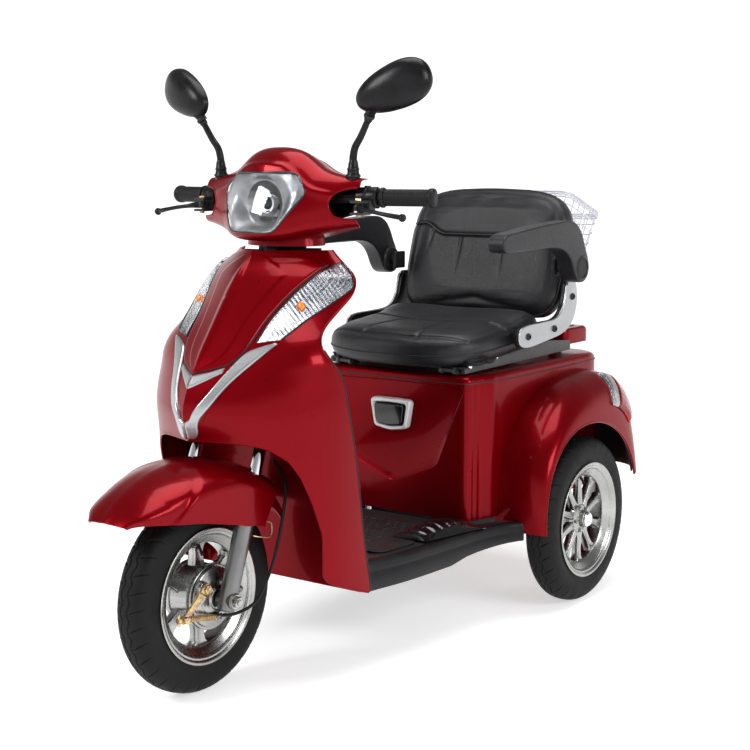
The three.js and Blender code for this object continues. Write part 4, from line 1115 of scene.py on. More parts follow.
narrow = round_x(
    spoke(-8, 14, [(34, 11, 0), (52, 9, 1), (80, 8, 2), (97, 9.5, 1), (104, 14, 0), (110, 19, 0)]), 10
)
rear_hub = turned(
    [
        (0, -40), (36, -40), (41, -36), (42, -10), (42, 4), (38, 10), (30, 15), (21, 17), (20, 20), (19, 29),
        (16, 32), (0, 33),
    ],
    ORIGIN, ACROSS, 72,
)
studs = round_x(hexagon((12, 0, 29), (21, 0, 29), 5), 5, 0.4)
for side, sign in SIDES:
    centre = (sign * REAR_TRACK_HALF, REAR_AXLE_Y, TYRE_R)
    body = "rear_wheel_l" if sign > 0 else "rear_wheel_r"
    flip = sign < 0
    wheel_piece(f"rear_tyre_{side}_treaded", TREAD, TYRE, body, [f"rear_tyre_{side}"], centre, flip, sharp=28)
    metal_shape = joined(BARREL, narrow, rear_hub, studs)
    wheel_piece(
        f"rear_rim_{side}_cast", metal_shape, ALLOY, body, [f"rear_rim_{side}"], centre, flip,
        bevel=0.8, round_steps=2,
    )
    cap = turned(
        [(0, 28), (16, 28), (18.5, 31), (18.5, 34), (15, 37.5), (6, 39), (0, 39.3)], ORIGIN, ACROSS, 48
    )
    wheel_piece(f"rear_hub_cap_{side}", cap, CHROME, body, (), centre, flip)
    valve = valve_shape((10, 0, 104), (18, 0, 92), (21, 0, 86))
    wheel_piece(f"rear_valve_{side}", valve, RUBBER, body, (), centre, flip)

# --- drum brake
plate = turned(
    [(7, 45), (62, 45), (62, 49), (59, 51), (50, 52), (44, 56), (30, 57.5), (24, 58), (22, 62), (7, 62)],
    AXLE, ACROSS, 96, loop=True,
)
torque_outline = rounded([(-618, 214), (-560, 236), (-540, 190), (-562, 164), (-600, 158), (-640, 196)], 14)
torque_arm = prism(torque_outline, 51, 57, "X")
CAM = np.array((0, -634, 232))
cam_boss = turned([(7, 50), (15, 50), (14, 60), (12.5, 65), (7, 65)], CAM, ACROSS, 36, loop=True)
stop_lug = block(50, 66, -594, -574, 158, 176)
piece(
    "brake_plate_cast", joined(plate, torque_arm, cam_boss, stop_lug), ALLOY, "fork_lowers", ["brake_plate"],
    bevel=1.2, round_steps=3,
)
ARM_TIP = np.array((70, -700, 186))
arm_way = ARM_TIP[1:] - CAM[1:]
arm_dir = arm_way / np.linalg.norm(arm_way)
arm_side = np.array((-arm_dir[1], arm_dir[0]))
lever_outline = []
for along, half_w in (
    (-11, 7), (-6, 11), (6, 12), (16, 9), (60, 6.5), (74, 6.5), (88, 7), (88, -7), (74, -6.5), (60, -6.5),
    (16, -9), (6, -12), (-6, -11), (-11, -7)
):
    lever_outline.append(tuple(CAM[1:] + arm_dir * along + arm_side * half_w))
lever = prism(rounded(lever_outline, 3), 67, 72, "X")
spindle = joined(
    rod(CAM + (58, 0, 0), CAM + (79, 0, 0), 6, 24), hexagon(CAM + (72, 0, 0), CAM + (77, 0, 0), 10)
)
clamp_at = CAM + np.array((69.5, *(arm_dir * 17)))
clamp = hexagon(clamp_at + (0, -9, 6), clamp_at + (0, 10, -6), 5)
barrel_pin = rod(ARM_TIP + (-7, 0, 0), ARM_TIP + (11, 0, 0), 7, 28)
piece(
    "brake_arm_zinc", joined(lever, spindle, clamp, barrel_pin), ZINC, "drum_arm", ["brake_arm"], bevel=0.7,
    round_steps=2
)

STOP = np.array((64, -590, 166))
rod_line = [ARM_TIP + (0, -18, 3), ARM_TIP, lerp(ARM_TIP, STOP, 0.5), STOP + (0, 6, 0)]
pull_rod = tube(spline(rod_line, 8), 2.5, 12)
wing_nut = joined(
    rod(ARM_TIP + (0, -9, 1.5), ARM_TIP + (0, -17, 2.5), 6.5, 20),
    egg(ARM_TIP + (0, -14, 9), (2, 4, 6), 16, 8),
    egg(ARM_TIP + (0, -14, -5), (2, 4, 6), 16, 8),
)
SPRING_TURNS, TURN_STEPS = 15, 14
coil = []
for f in np.linspace(0, 1, SPRING_TURNS * TURN_STEPS):
    at = lerp(ARM_TIP + (0, 12, -1), STOP + (0, -16, 1), f)
    a = 2 * math.pi * SPRING_TURNS * f
    coil.append(at + np.array((5.6 * math.cos(a), 0, 5.6 * math.sin(a))))
piece("brake_rod", joined(pull_rod, wing_nut, tube(coil, 1.1, 8)), ZINC, "fork_lowers", sharp=60)
ferrule = joined(
    rod(STOP + (0, -14, 1), STOP + (0, -2, 0), 5.5, 24), hexagon(STOP + (0, -3, 0), STOP + (0, 3, 0), 7)
)
piece("brake_cable_ferrule", ferrule, FORK, "fork_lowers", slot="zinc")
CABLE = [
    (64, -590, 166), (76, -556, 164), (98, -524, 182), (116, -500, 236), (124, -480, 300),
    (124, -462, 360), (118, -446, 410), (102, -440, 440), (82, -440, 460),
]
cable_path = spline(CABLE, 6)
cable = piece(
    "brake_cable_sheath", tube(cable_path, 3.2, 16), RUBBER, "fork_lowers", ["brake_cable"], sharp=60
)

# A bent wire on the left slider keeps the brake cable clear of the tyre.
guide_at = on_steering(150, FORK_X)
guide = [
    guide_at + (10, 16, 6), guide_at + (16, 24, 6), guide_at + (18, 62, -2), guide_at + (18, 66, -10),
    guide_at + (18, 62, -30), guide_at + (16, 30, -26), guide_at + (10, 16, -22),
]
piece("cable_guide", tube(spline(guide, 6), 1.8, 8), ZINC, "fork_lowers", sharp=60)


# --- handlebar, grips and levers
BAR = [(0, -303, 989.5), (90, -303, 989.5), (160, -294, 992), (234, -278, 994), (340, -249, 994)]


def bar_at(x):
    return np.array((x, table(BAR, x, 1), table(BAR, x, 2)))


GRIP_A, GRIP_TIP = bar_at(237), np.array((348, -246.5, 994))
grip_way = GRIP_TIP - GRIP_A
grip_profile = [(11.9, 0), (19.5, 0), (20.5, 1), (20.5, 6), (19, 7.5), (17, 8)]
for k in range(24):
    s = 10 + k * 3.7
    grip_profile += [(16.8, s), (17.3, s + 0.7), (17.3, s + 2.3), (16.8, s + 3.0)]
grip_profile += [(17.0, 101), (19.0, 103), (19.5, 106), (19.5, 111), (18, 114), (14, 115.5), (0, 115.5)]
for side, sign in SIDES:
    grip = turned(grip_profile, GRIP_A, grip_way, 56)
    body = "steering" if sign > 0 else "throttle"
    cad = "grip_left" if sign > 0 else "throttle_grip"
    piece(f"grip_{side}_ribbed", sided(grip, sign), RUBBER, body, [cad], sharp=50)
    pod_way = bar_at(233) - bar_at(188)
    pod = turned(
        [
            (12.2, 0), (20, 0), (22, 2), (22, 21), (21.2, 22), (21.2, 23), (22, 24), (22, 42), (20, 45),
            (12.2, 45)
        ],
        bar_at(188), pod_way, 56, loop=True,
    )
    perch = joined(
        block(196, 228, -306, -286, 961, 988), block(198, 226, -333, -300, 983.5, 988.5),
        block(198, 226, -333, -300, 959.5, 964.5)
    )
    piece(
        f"control_pod_{side}_body", sided(joined(pod, perch), sign), SATIN, "steering",
        [f"control_pod_{side}"], bevel=1.6
    )
    switch = joined(block(203, 211, -290, -276, 1010, 1018), block(214, 224, -288, -274, 1008, 1015))
    piece(f"control_switch_{side}", sided(switch, sign), GLOSS, "steering", bevel=1.5)
    pivot_bolt = joined(
        hexagon((212, -322, 988), (212, -322, 993), 6.5), rod((212, -322, 955), (212, -322, 960), 5, 20)
    )
    piece(f"lever_bolt_{side}", sided(pivot_bolt, sign), ZINC, "steering")
    blade_line = spline(
        [
            (212, -322, 974), (226, -334, 973), (238, -340, 971), (262, -344, 968), (285, -346, 964),
            (308, -343, 960), (326, -337.5, 957)
        ],
        8
    )
    radii = [lerp(7.5, 4.6, step(k / 20)) + 0.9 * step((k - 30) / 14) for k in range(len(blade_line))]
    blade = tube(blade_line, radii, 20)
    blade = (blade[0] * np.array((1, 1, 0.92)) + np.array((0, 0, 0.08 * 968)), blade[1])
    boss = rod((212, -322, 967.5), (212, -322, 980.5), 10, 32, 1.5)
    ball = egg((330, -337, 957), (8, 8, 8), 28, 16)
    piece(
        f"brake_lever_{side}_cast", sided(joined(blade, boss, ball), sign), SATIN, f"lever_{side}",
        [f"brake_lever_{side}"], sharp=50
    )

# --- mirrors
for side, sign in SIDES:
    base, bend, neck = (np.array(p, float) for p in ((179, -295, 1036), (180, -296, 1082), (222, -302, 1150)))
    boot = turned(
        [
            (0, -6), (13.6, -6), (13.6, -1), (15.5, 0), (15.5, 3), (12.5, 6), (11.8, 12), (12.4, 14),
            (12.4, 17), (10.8, 19), (10, 27), (8.6, 32), (7.8, 34), (0, 34)
        ],
        base, bend - base, 40,
    )
    stem_line = spline(
        [base + (0, 0, 24), bend + (0, 0, -6), bend + (5, -1, 12), lerp(bend, neck, 0.5), neck], 8
    )
    stem = tube(stem_line, [lerp(8.4, 6.6, k / (len(stem_line) - 1)) for k in range(len(stem_line))], 24)
    knuckle = egg(neck, (8.6, 8.6, 8.6), 24, 14)
    piece(
        f"mirror_arm_{side}_stem", sided(joined(boot, stem, knuckle), sign), SATIN, f"mirror_arm_{side[0]}",
        [f"mirror_arm_{side}"], sharp=45
    )

    tilt, yaw = -0.38, math.radians(16)
    centre = np.array((276, -290, 1212))
    rows = []
    for i in range(25):
        w = i / 24
        ring = []
        for k in range(72):
            a = 2 * math.pi * k / 72
            ca, sa = math.cos(a), math.sin(a)
            x = math.copysign(abs(ca) ** 0.86, ca) * 83
            z = math.copysign(abs(sa) ** 0.9, sa) * 54 * (0.84 + 0.16 * x / 83)
            wx = 0.999 * math.sin(w * math.pi / 2)
            y = -34 * math.cos(w * math.pi / 2) ** 0.8 if w < 1 else 0.0
            ring.append((x * wx, y, z * wx))
        rows.append(ring)
    rim_ring = [
        [(x * k, y, z * k) for x, _, z in rows[-1]]
        for k, y in ((1.0, 2.0), (0.985, 3.0), (0.955, 3.0), (0.945, 1.0))
    ]
    shell_shape = grid([*rows, *rim_ring], wrap_u=True, caps=True)
    glass_shape = grid(
        [
            [(x * k, y, z * k) for x, _, z in rows[-1]]
            for k, y in ((0.944, 1.2), (0.944, 2.0), (0.93, 2.3), (0.5, 2.6), (0.02, 2.7))
        ],
        wrap_u=True, caps=True
    )
    turn = Matrix.Translation(centre.tolist()) @ Matrix.Rotation(yaw, 4, "Z") @ Matrix.Rotation(tilt, 4, "Y")
    socket_line = spline([(225, -302.6, 1158), (229, -304, 1164), (236, -307, 1173), (247, -313, 1187)], 6)
    socket = tube(
        socket_line, [9.6 + 5.5 * (k / (len(socket_line) - 1)) ** 1.3 for k in range(len(socket_line))], 28
    )
    collar = turned(
        [(8.2, 0), (11.2, 0), (11.6, 1.5), (11.6, 5), (10.5, 7), (8.2, 7)], (224, -302.2, 1154),
        (20, -10, 30), 32, loop=True
    )
    head = joined(placed(shell_shape, turn), socket, collar)
    piece(
        f"mirror_head_{side}_shell", sided(head, sign), SATIN, f"mirror_head_{side[0]}",
        [f"mirror_head_{side}"], sharp=45
    )
    piece(
        f"mirror_glass_{side}", sided(placed(glass_shape, turn), sign), GLASS, f"mirror_head_{side[0]}",
        sharp=45
    )

# --- handlebar cowl
# Rows: half span x, then y and z of five points from the underside round the front to the back.
COWL = [
    (0, (-296, 904), (-412, 916), (-372, 1052), (-316, 1096), (-246, 1076)),
    (55, (-292, 904), (-402, 918), (-360, 1050), (-314, 1088), (-246, 1070)),
    (110, (-286, 912), (-366, 930), (-352, 1014), (-312, 1052), (-250, 1044)),
    (160, (-286, 924), (-338, 938), (-334, 1006), (-306, 1036), (-256, 1034)),
    (205, (-286, 934), (-316, 942), (-316, 1002), (-300, 1030), (-262, 1030)),
]
cowl_xs = [-r[0] for r in COWL[:0:-1]] + [r[0] for r in COWL]
cowl_rows = COWL[:0:-1] + COWL


def through(keys, values, key):
    """A smooth curve through values at uneven keys."""
    i = max(0, min(len(keys) - 2, int(np.searchsorted(keys, key)) - 1))
    slopes = []
    for k in (i, i + 1):
        lo, hi = max(0, k - 1), min(len(keys) - 1, k + 1)
        slopes.append((values[hi] - values[lo]) / (keys[hi] - keys[lo]))
    h = keys[i + 1] - keys[i]
    t = (key - keys[i]) / h
    a = (1 + 2 * t) * (1 - t) ** 2 * values[i] + t * t * (3 - 2 * t) * values[i + 1]
    return a + h * (t * (1 - t) ** 2 * slopes[0] - t * t * (1 - t) * slopes[1])


COWL_STEPS = 16
cowl_profiles = {}


def cowl_profile(x):
    key = round(float(x), 3)
    if key not in cowl_profiles:
        points = [
            tuple(through(cowl_xs, [r[c][axis] for r in cowl_rows], x) for axis in (0, 1))
            for c in range(1, 6)
        ]
        line = spline(points, COWL_STEPS)
        # A brow stands over the lamp and a crease runs from it out to each end.
        made = []
        for k, (y, z) in enumerate(line):
            v = k / COWL_STEPS
            brow = math.exp(-(((v - 2.12 + 0.0016 * abs(x)) / 0.11) ** 2)) * step((190 - abs(x)) / 60)
            made.append((x, y - 3.2 * brow, z + 2.6 * brow))
        cowl_profiles[key] = np.array(made)
    return cowl_profiles[key]


def on_cowl(x, z):
    """The point of the cowl's front at a height."""
    line = cowl_profile(x)[COWL_STEPS // 2 : COWL_STEPS * 3]
    y = float(np.interp(z, line[:, 2], line[:, 1]))
    return np.array((x, y, z))


cowl_grid = np.array([cowl_profile(x) for x in np.linspace(-205, 205, 121)])
cowl_grid = np.transpose(cowl_grid, (1, 0, 2))
LAMP = rounded(mirrored([(56, 922), (109, 1006), (79, 1045)]), 16, 5)
lamp_hole = prism(LAMP, -460, -335, "Y")
mirror_hole = rod((179, -295, 1012), (179, -295, 1060), 13.8, 32, 0.1)
MOUTH = spline([(232, 950), (186, 950), (162, 958), (151, 982), (162, 1003), (186, 1012), (232, 1013)], 8)
notch = prism([(float(x), float(z)) for x, z in MOUTH], -352, -290, "Y")
tips = joined(
    prism([(180, -240), (207, -297), (222, -297), (222, -240)], 1012, 1060, "Z"),
    prism([(180, -272), (207, -314), (222, -314), (222, -272)], 920, 949, "Z"),
)
piece(
    "handlebar_cowl_skin", grid(cowl_grid), RED, "steering", ["handlebar_cowl"], shell=3,
    cutters=[lamp_hole, mirror_hole, flipped(mirror_hole), notch, flipped(notch), tips, flipped(tips)],
)
mouth_rim = [on_cowl(x, z) + (0, 1.2, 0) for x, z in MOUTH if x < 204]
mouth_roll = tube(mouth_rim, 2.4, 10)
back_roll = tube(cowl_grid[-1, 9:-9] + np.array((0, 0, -1.5)), 2.0, 8)
cowl_rolls = joined(mouth_roll, flipped(mouth_roll), back_roll)
piece("handlebar_cowl_edges", cowl_rolls, RED, "steering", sharp=60)
NECK_HALF_W, NECK_DEPTH, NECK_HEIGHT = 88, 66, 30
NECK_Y, NECK_Z = -292, 892
neck_rows = []
for v in np.linspace(0, 1, 8):
    row = []
    for u in np.linspace(0, 1, 49):
        a, k = math.pi * (1 - 2 * u) * 0.62, lerp(1, 0.94, v)
        x, y = NECK_HALF_W * k * math.sin(a), NECK_Y - NECK_DEPTH * k * math.cos(a)
        row.append((x, y, NECK_Z + NECK_HEIGHT * v))
    neck_rows.append(row)
piece("handlebar_neck", slab(neck_rows, 0, -3), RED, "steering")
# A rubber curtain behind the stem closes the view between the neck and the shield.
SEAL = [(-84, -284), (-54, -297), (-32, -315), (0, -317), (32, -315), (54, -297), (84, -284)]
SEAL_LOW, SEAL_THICK = 868, 5
seal_shapes = []
for first, last, top in ((0, 2, 887), (1, 6, 891), (5, 7, 887)):
    line = SEAL[first:last]
    behind = [(x, y + SEAL_THICK) for x, y in line[::-1]]
    seal_shapes.append(prism([*line, *behind], SEAL_LOW, top, "Z"))
piece("steering_seal", joined(*seal_shapes), RUBBER, "chassis")


# --- headlight
LAMP_CENTRE = np.array((0, 985))
LAMP_SCALE = 0.985
LAMP_DOME = 2.2


def lamp_face(offset, count=90, rings=12):
    """Rings of points over the lamp's outline, from its middle out, pushed in along Y."""
    outline = even(LAMP, count, closed=True)
    rows = []
    for j in range(rings + 1):
        w = max(0.02, j / rings)
        row = []
        for p in outline:
            x, z = LAMP_CENTRE + (p - LAMP_CENTRE) * w * LAMP_SCALE
            point = on_cowl(x, z)
            point[1] += offset - LAMP_DOME * (1 - w**4)
            row.append(point)
        rows.append(row)
    return np.array(rows)


lens_front = lamp_face(-0.6)
lens_back = lamp_face(2.0)
lens_shape = joined(
    grid(lens_front, wrap_u=True), grid(lens_back[:, ::-1], wrap_u=True),
    grid([lens_front[-1], lens_back[-1]], wrap_u=True),
    ([*lens_front[0]], [tuple(range(90))]), ([*lens_back[0]], [tuple(range(89, -1, -1))]),
)
piece("headlight_lens_clear", lens_shape, CLEAR, "steering", ["headlight_lens"], sharp=50)
bezel_line = [on_cowl(*p) + (0, 0.4, 0) for p in even(LAMP, 140, closed=True)]
piece("headlight_gasket", tube(bezel_line, 2.0, 10, closed=True), GLOSS, "steering", sharp=60)

BOWL_R, BOWL_Z, BOWL_END_R, BOWL_DEPTH = 47, 981, 12, 34
BOWL_COUNT, BOWL_FACETS = 96, 8
bowl_rows, rim_y = [], -362
outline = even(LAMP, BOWL_COUNT, closed=True)
for w in np.linspace(0, 1, 9):
    row = []
    for p in outline:
        d = p - (0, BOWL_Z)
        ring = (d / np.linalg.norm(d)) * BOWL_R + (0, BOWL_Z)
        x, z = lerp(p * (0.97, 1.0), ring, w)
        edge_y = on_cowl(x, z)[1] + 5
        row.append((x, lerp(edge_y, rim_y, step(w)), z))
    bowl_rows.append(row)
depth_rows = []
for f in np.linspace(0, 1, 17)[1:]:
    r = BOWL_R * (1 - f) + BOWL_END_R * f
    depth = BOWL_DEPTH * (1 - (r / BOWL_R) ** 2)
    row = []
    for p in outline:
        d = p - (0, BOWL_Z)
        a = math.atan2(d[1], d[0])
        facet = 0.9 * abs(math.sin(BOWL_FACETS * a))
        row.append((r * math.cos(a), rim_y + depth + facet * (1 - f), BOWL_Z + r * math.sin(a)))
    depth_rows.append(row)
points, faces = grid([*bowl_rows, *depth_rows], wrap_u=True)
reflector = (points, faces + [tuple(range(len(points) - BOWL_COUNT, len(points)))])
piece("headlight_bowl", reflector, BOWL, "steering", ["headlight_reflector"], shell=1.5, sharp=25)
projector = turned(
    [(0, 0), (19, 0), (19, 13), (21, 15), (21, 18), (18.5, 19), (16, 18), (16, 14), (0, 12)],
    (0, rim_y + 22, BOWL_Z), (0, -1, 0), 48,
)
piece("headlight_projector_ring", projector, CHROME, "steering")
bulb = egg((0, rim_y + 10, BOWL_Z), (13.5, 9, 13.5), 32, 18)
piece("headlight_projector_lens", bulb, GLOSS, "steering")
shade = block(-22, 22, rim_y + 6, rim_y + 16, BOWL_Z - 32, BOWL_Z - 28)
piece("headlight_shade", shade, GLOSS, "steering", bevel=1)

# --- instrument panel
dash_rows = []
for v in np.linspace(0, 1, 10):
    row = []
    for x in np.linspace(-172, 172, 61):
        p = cowl_profile(x)
        top, low = p[-1], p[0]
        y = lerp(top[1], low[1], v) + 1 - 5 * math.sin(math.pi * v) * (1 - (x / 172) ** 2)
        row.append((x, y, lerp(top[2] - 8, low[2] + 30, v)))
    dash_rows.append(row)
dash_grid = np.array(dash_rows)
piece("dash_panel_skin", slab(dash_grid, -1, -4), PLASTIC, "steering", ["dash_panel"])
dash_mid = dash_grid[4, 30]
DASH_UP, DASH_OUT = np.array((0, -0.38, 0.92)), np.array((0, 0.92, 0.38))


def on_dash(x, up, out=0.0):
    """A point on the panel, from its middle: across, up its slope and off its face."""
    return dash_mid + np.array((x, 0, 0)) + up * DASH_UP + out * DASH_OUT


def gauge_outline(k, out):
    angles = np.linspace(0, 2 * math.pi, 60, endpoint=False)
    return [on_dash(46 * k * math.cos(a), 8 + 25 * k * math.sin(a), out) for a in angles]


gauge_ring = gauge_outline(1, 1)
piece("gauge_ring", tube(gauge_ring, 2.6, 12, closed=True), CHROME, "steering", sharp=60)
gauge_face = [gauge_outline(k, out) for k, out in ((1, -4), (1, 0.5), (0.6, 1.2), (0.02, 1.4))]
piece("gauge_face", grid(gauge_face, wrap_u=True, caps=True), GLOSS, "steering")
ticks = []
for k in range(9):
    a = math.radians(200 - 27.5 * k)
    ends = [on_dash(w * math.cos(a), 4 + h * math.sin(a), 1.6) for w, h in ((30, 15), (36, 18.5))]
    ticks.append(tube(ends, 0.7, 8))
needle = tube([on_dash(0, 2, 2), on_dash(-17, 13, 2)], 0.9, 8)
piece("gauge_marks", joined(*ticks, needle), WIRE, "steering")
key_barrel = turned(
    [(0, 0), (13, 0), (13, 5), (11, 7), (4, 7), (4, 5), (0, 5)], on_dash(82, 4, -1), DASH_OUT, 40
)
piece("key_switch", key_barrel, CHROME, "steering")
rockers = [tube([on_dash(x, -8, 1), on_dash(x, 12, 1)], 7, 16) for x in (-96, -74)]
piece("rocker_switches", joined(*rockers), GLOSS, "steering", sharp=50)


# --- rear body
BODY_OUTLINE = [
    (0, 100), (170, 100), (188, 100.5), (201, 103.5), (207, 107), (212, 118), (216, 134), (221, 148),
    (226, 163), (231, 184), (234, 215), (235, 270), (235, 640), (232, 668), (226, 688), (212, 702),
    (196, 712), (150, 720), (0, 722),
]
plan_half = even(spline(BODY_OUTLINE, 4), 260)
BODY_MID_Y, BODY_HALF_L = 410, 310
CREASE_Y = (122, 141)  # two pressed lines that run down each front corner


def body_plan(inset):
    """The body's outline in plan, drawn in by a distance."""
    out = []
    for x, y in plan_half:
        if x > 195 and y < 200:
            for line in CREASE_Y:
                x -= 2.2 * math.exp(-(((y - line) / 2.2) ** 2))
            x += 2.4 * math.exp(-(((y - 176) / 13) ** 2))
        kx = (BODY_HALF_W - inset) / BODY_HALF_W
        ky = (BODY_HALF_L - inset) / BODY_HALF_L
        out.append((x * kx, BODY_MID_Y + (y - BODY_MID_Y) * ky))
    return out + [(-x, y) for x, y in out[::-1] if x > 0.5]


body_rings = []
TOP_EASE = 16
for z in np.linspace(BODY_BOTTOM_Z, BODY_TOP_Z - TOP_EASE, 14):
    body_rings.append([(x, y, z) for x, y in body_plan(0)])
for a in np.linspace(0, math.pi / 2, 8)[1:]:
    z = BODY_TOP_Z - TOP_EASE + TOP_EASE * math.sin(a)
    body_rings.append([(x, y, z) for x, y in body_plan(TOP_EASE * (1 - math.cos(a)))])
body_rings.append([(x, y, BODY_TOP_Z + 0.01) for x, y in body_plan(TOP_EASE + 6)])
body_shape = grid(body_rings, wrap_u=True, caps=True)
V_OUT = rounded(mirrored([(0, 311), (124, 361), (203, 553), (0, 557)]), 15, 6)
V_IN = rounded(mirrored([(0, 327), (115, 376), (197, 550), (0, 553)]), 14, 6)
recess = grid(
    [[(x, 90, z) for x, z in V_OUT], [(x, 100.3, z) for x, z in V_OUT], [(x, 107, z) for x, z in V_IN]],
    wrap_u=True, caps=True,
)
piece("rear_body_shell", body_shape, RED, "chassis", ["rear_body"], cutters=[recess], sharp=28)
seam_line = [(x, y, 562) for x, y in body_plan(-0.4)]
piece("seat_box_lid_seam", tube(seam_line, 1.5, 6, closed=True), PLASTIC, "chassis", sharp=60)

ARC_BODY = [
    (1, 226), (14, 238), (27, 260), (37, 274), (54, 293), (71, 314), (84, 324), (104, 350), (118, 392),
    (132, 395), (145, 343), (163, 298),
]
ARC_LIP = [
    (1, 217), (15, 225), (34, 240), (50, 248), (66, 248), (86, 241), (107, 240), (128, 245), (147, 250),
    (163, 250)
]
FENDER_X = (BODY_HALF_W - 6, 358)


def rear_fender_at(u, phi):
    r_body, r_lip = smooth(ARC_BODY, phi, 1, 3.2), smooth(ARC_LIP, phi, 1, 3.2)
    x, r = bezier(
        (
            (FENDER_X[0], r_body), (FENDER_X[0] + 78, r_body + 4),
            (FENDER_X[1] - 1, lerp(r_lip, r_body, 0.74)), (FENDER_X[1], r_lip)
        ),
        u,
    )
    return np.array(round_point(phi, r, x, REAR_AXLE_Y))


arc_us = 1 - (1 - np.linspace(0, 1, 40)) ** 1.15
rear_phis = np.linspace(1, 163, 130)
rear_rows = [[rear_fender_at(u, phi) for u in arc_us] for phi in rear_phis]
# The skin also runs in behind the body's rounded rear corners.
wing = grid(
    [
        [row[0] * (lerp(0.98, 0.8, step((phi - 92) / 14)), 1, 1), *row]
        for phi, row in zip(rear_phis, rear_rows)
    ]
)
piece("rear_fenders", both(wing), RED, "chassis", shell=3, sharp=50)
lip = tube([row[-1] + (-1.8, 0, 0) for row in rear_rows], 3.0, 10)
piece("rear_fender_lips", both(lip), RED, "chassis", sharp=60)
liner_rows = [
    [rear_fender_at(u, phi) + (-5, 0, 0) for u in np.linspace(0.02, 0.97, 20)]
    for phi in np.linspace(2, 162, 60)
]
liner = slab(liner_rows, -5, -8)
piece("rear_wheel_arch_liners", both(liner), PLASTIC, "chassis", sharp=50)

# --- tail lights
TAIL_PHI = (112, 135)


def tail_grid(u0, u1, phi0, phi1, count=40):
    return np.array(
        [
            [rear_fender_at(u, phi) for u in np.linspace(u0, u1, 28)]
            for phi in np.linspace(phi0, phi1, count)
        ]
    )


def tail_height(nv, nu, low, high, edge=0.14):
    """Heights over a lens that rises from its four edges."""
    across, along = (
        np.array([quarter(min(t, 1 - t) / edge) for t in (k / (count - 1) for k in range(count))])
        for count in (nu, nv)
    )
    return low + (high - low) * across[None, :] * along[:, None]


base_grid = tail_grid(0.318, 0.812, TAIL_PHI[0] + 0.7, TAIL_PHI[1] - 0.7)
clear_half = tail_grid(0.31, 0.82, TAIL_PHI[0] + 0.4, 118.4)
red_half = tail_grid(0.31, 0.82, 118.9, TAIL_PHI[1] - 0.4)
for side, sign in SIDES:
    base = slab_between(lifted(base_grid, tail_height(40, 28, 0.4, 3.0)), lifted(base_grid, -1))
    piece(f"tail_light_{side}_base", sided(base, sign), FACETS, "chassis", sharp=40)
    for name, part, look in (("clear", clear_half, CLEAR), ("red", red_half, TAIL_RED)):
        ribs = 0.35 * np.sin(np.linspace(0, 2 * math.pi * 8, 28))[None, :]
        lens = slab_between(lifted(part, tail_height(40, 28, 3.2, 9.0) + ribs), lifted(part, 1.2))
        cad = [f"tail_light_{side}"] if name == "red" else []
        piece(f"tail_light_{side}_{name}", sided(lens, sign), look, "chassis", cad, sharp=50)

# --- latch
bezel_out = rounded(mirrored([(0, 436), (46, 443), (58, 506), (51, 513), (0, 514)]), 9, 5)
bezel_in = rounded(mirrored([(0, 447.5), (38, 452), (45, 501), (0, 503)]), 7, 5)
ring_out, ring_in = (even(line, 120, closed=True) for line in (bezel_out, bezel_in))
bezel_rows = []
for w, y in ((0, 104), (0, 90), (0.25, 86.6), (0.75, 86.6), (1, 90), (1, 104)):
    bezel_rows.append([(*lerp(a, b, w)[:1], y, lerp(a, b, w)[1]) for a, b in zip(ring_out, ring_in)])
piece("latch_bezel", grid(bezel_rows, wrap_u=True, wrap_v=True), BEZEL, "chassis", ["latch_frame"], sharp=50)
well = prism([tuple(p) for p in ring_in], 100.5, 103.5, "Y")
piece("latch_well", well, PLASTIC, "chassis")
paddle_out = rounded(mirrored([(0, 449.5), (34.5, 454), (40.5, 499.5), (0, 500)]), 6, 5)
piece(
    "latch_paddle_moulded", prism(paddle_out, 83.5, 96.5, "Y"), GLOSS, "latch", ["latch_paddle"], bevel=2.2,
    round_steps=4
)

# --- rear carrier
CARRIER_Y = 682


def tray_shape(levels, corner):
    """A tray with rounded corners: levels are (half width, half length, height)."""
    rows = []
    for a, b, z in levels:
        plan = [(-a, CARRIER_Y - b), (a, CARRIER_Y - b), (a, CARRIER_Y + b), (-a, CARRIER_Y + b)]
        rows.append([(x, y, z) for x, y in rounded(plan, corner, 6)])
    return grid(rows, wrap_u=True, caps=True)


tray = tray_shape([(178, 62, 600), (178, 62, 630), (176.5, 60.5, 636), (172, 56, 640), (150, 34, 640.4)], 20)
tray_cut = tray_shape([(174, 58, 590), (174, 58, 632), (170, 54, 636.3)], 17)
piece("rear_carrier_tray", tray, RED, "chassis", ["rear_carrier"], cutters=[tray_cut], sharp=32)
stay = joined(block(118, 142, 634, 664, 580.5, 637), hexagon((130, 649, 640), (130, 649, 644), 7))
piece("rear_carrier_stays", both(stay), STEEL, "chassis", bevel=1.2)
carrier_ribs = [tube([(x, 650, 640.6), (x, 714, 640.6)], 1.6, 8) for x in range(-150, 151, 30)]
piece("rear_carrier_ribs", joined(*carrier_ribs), RED, "chassis", sharp=60)

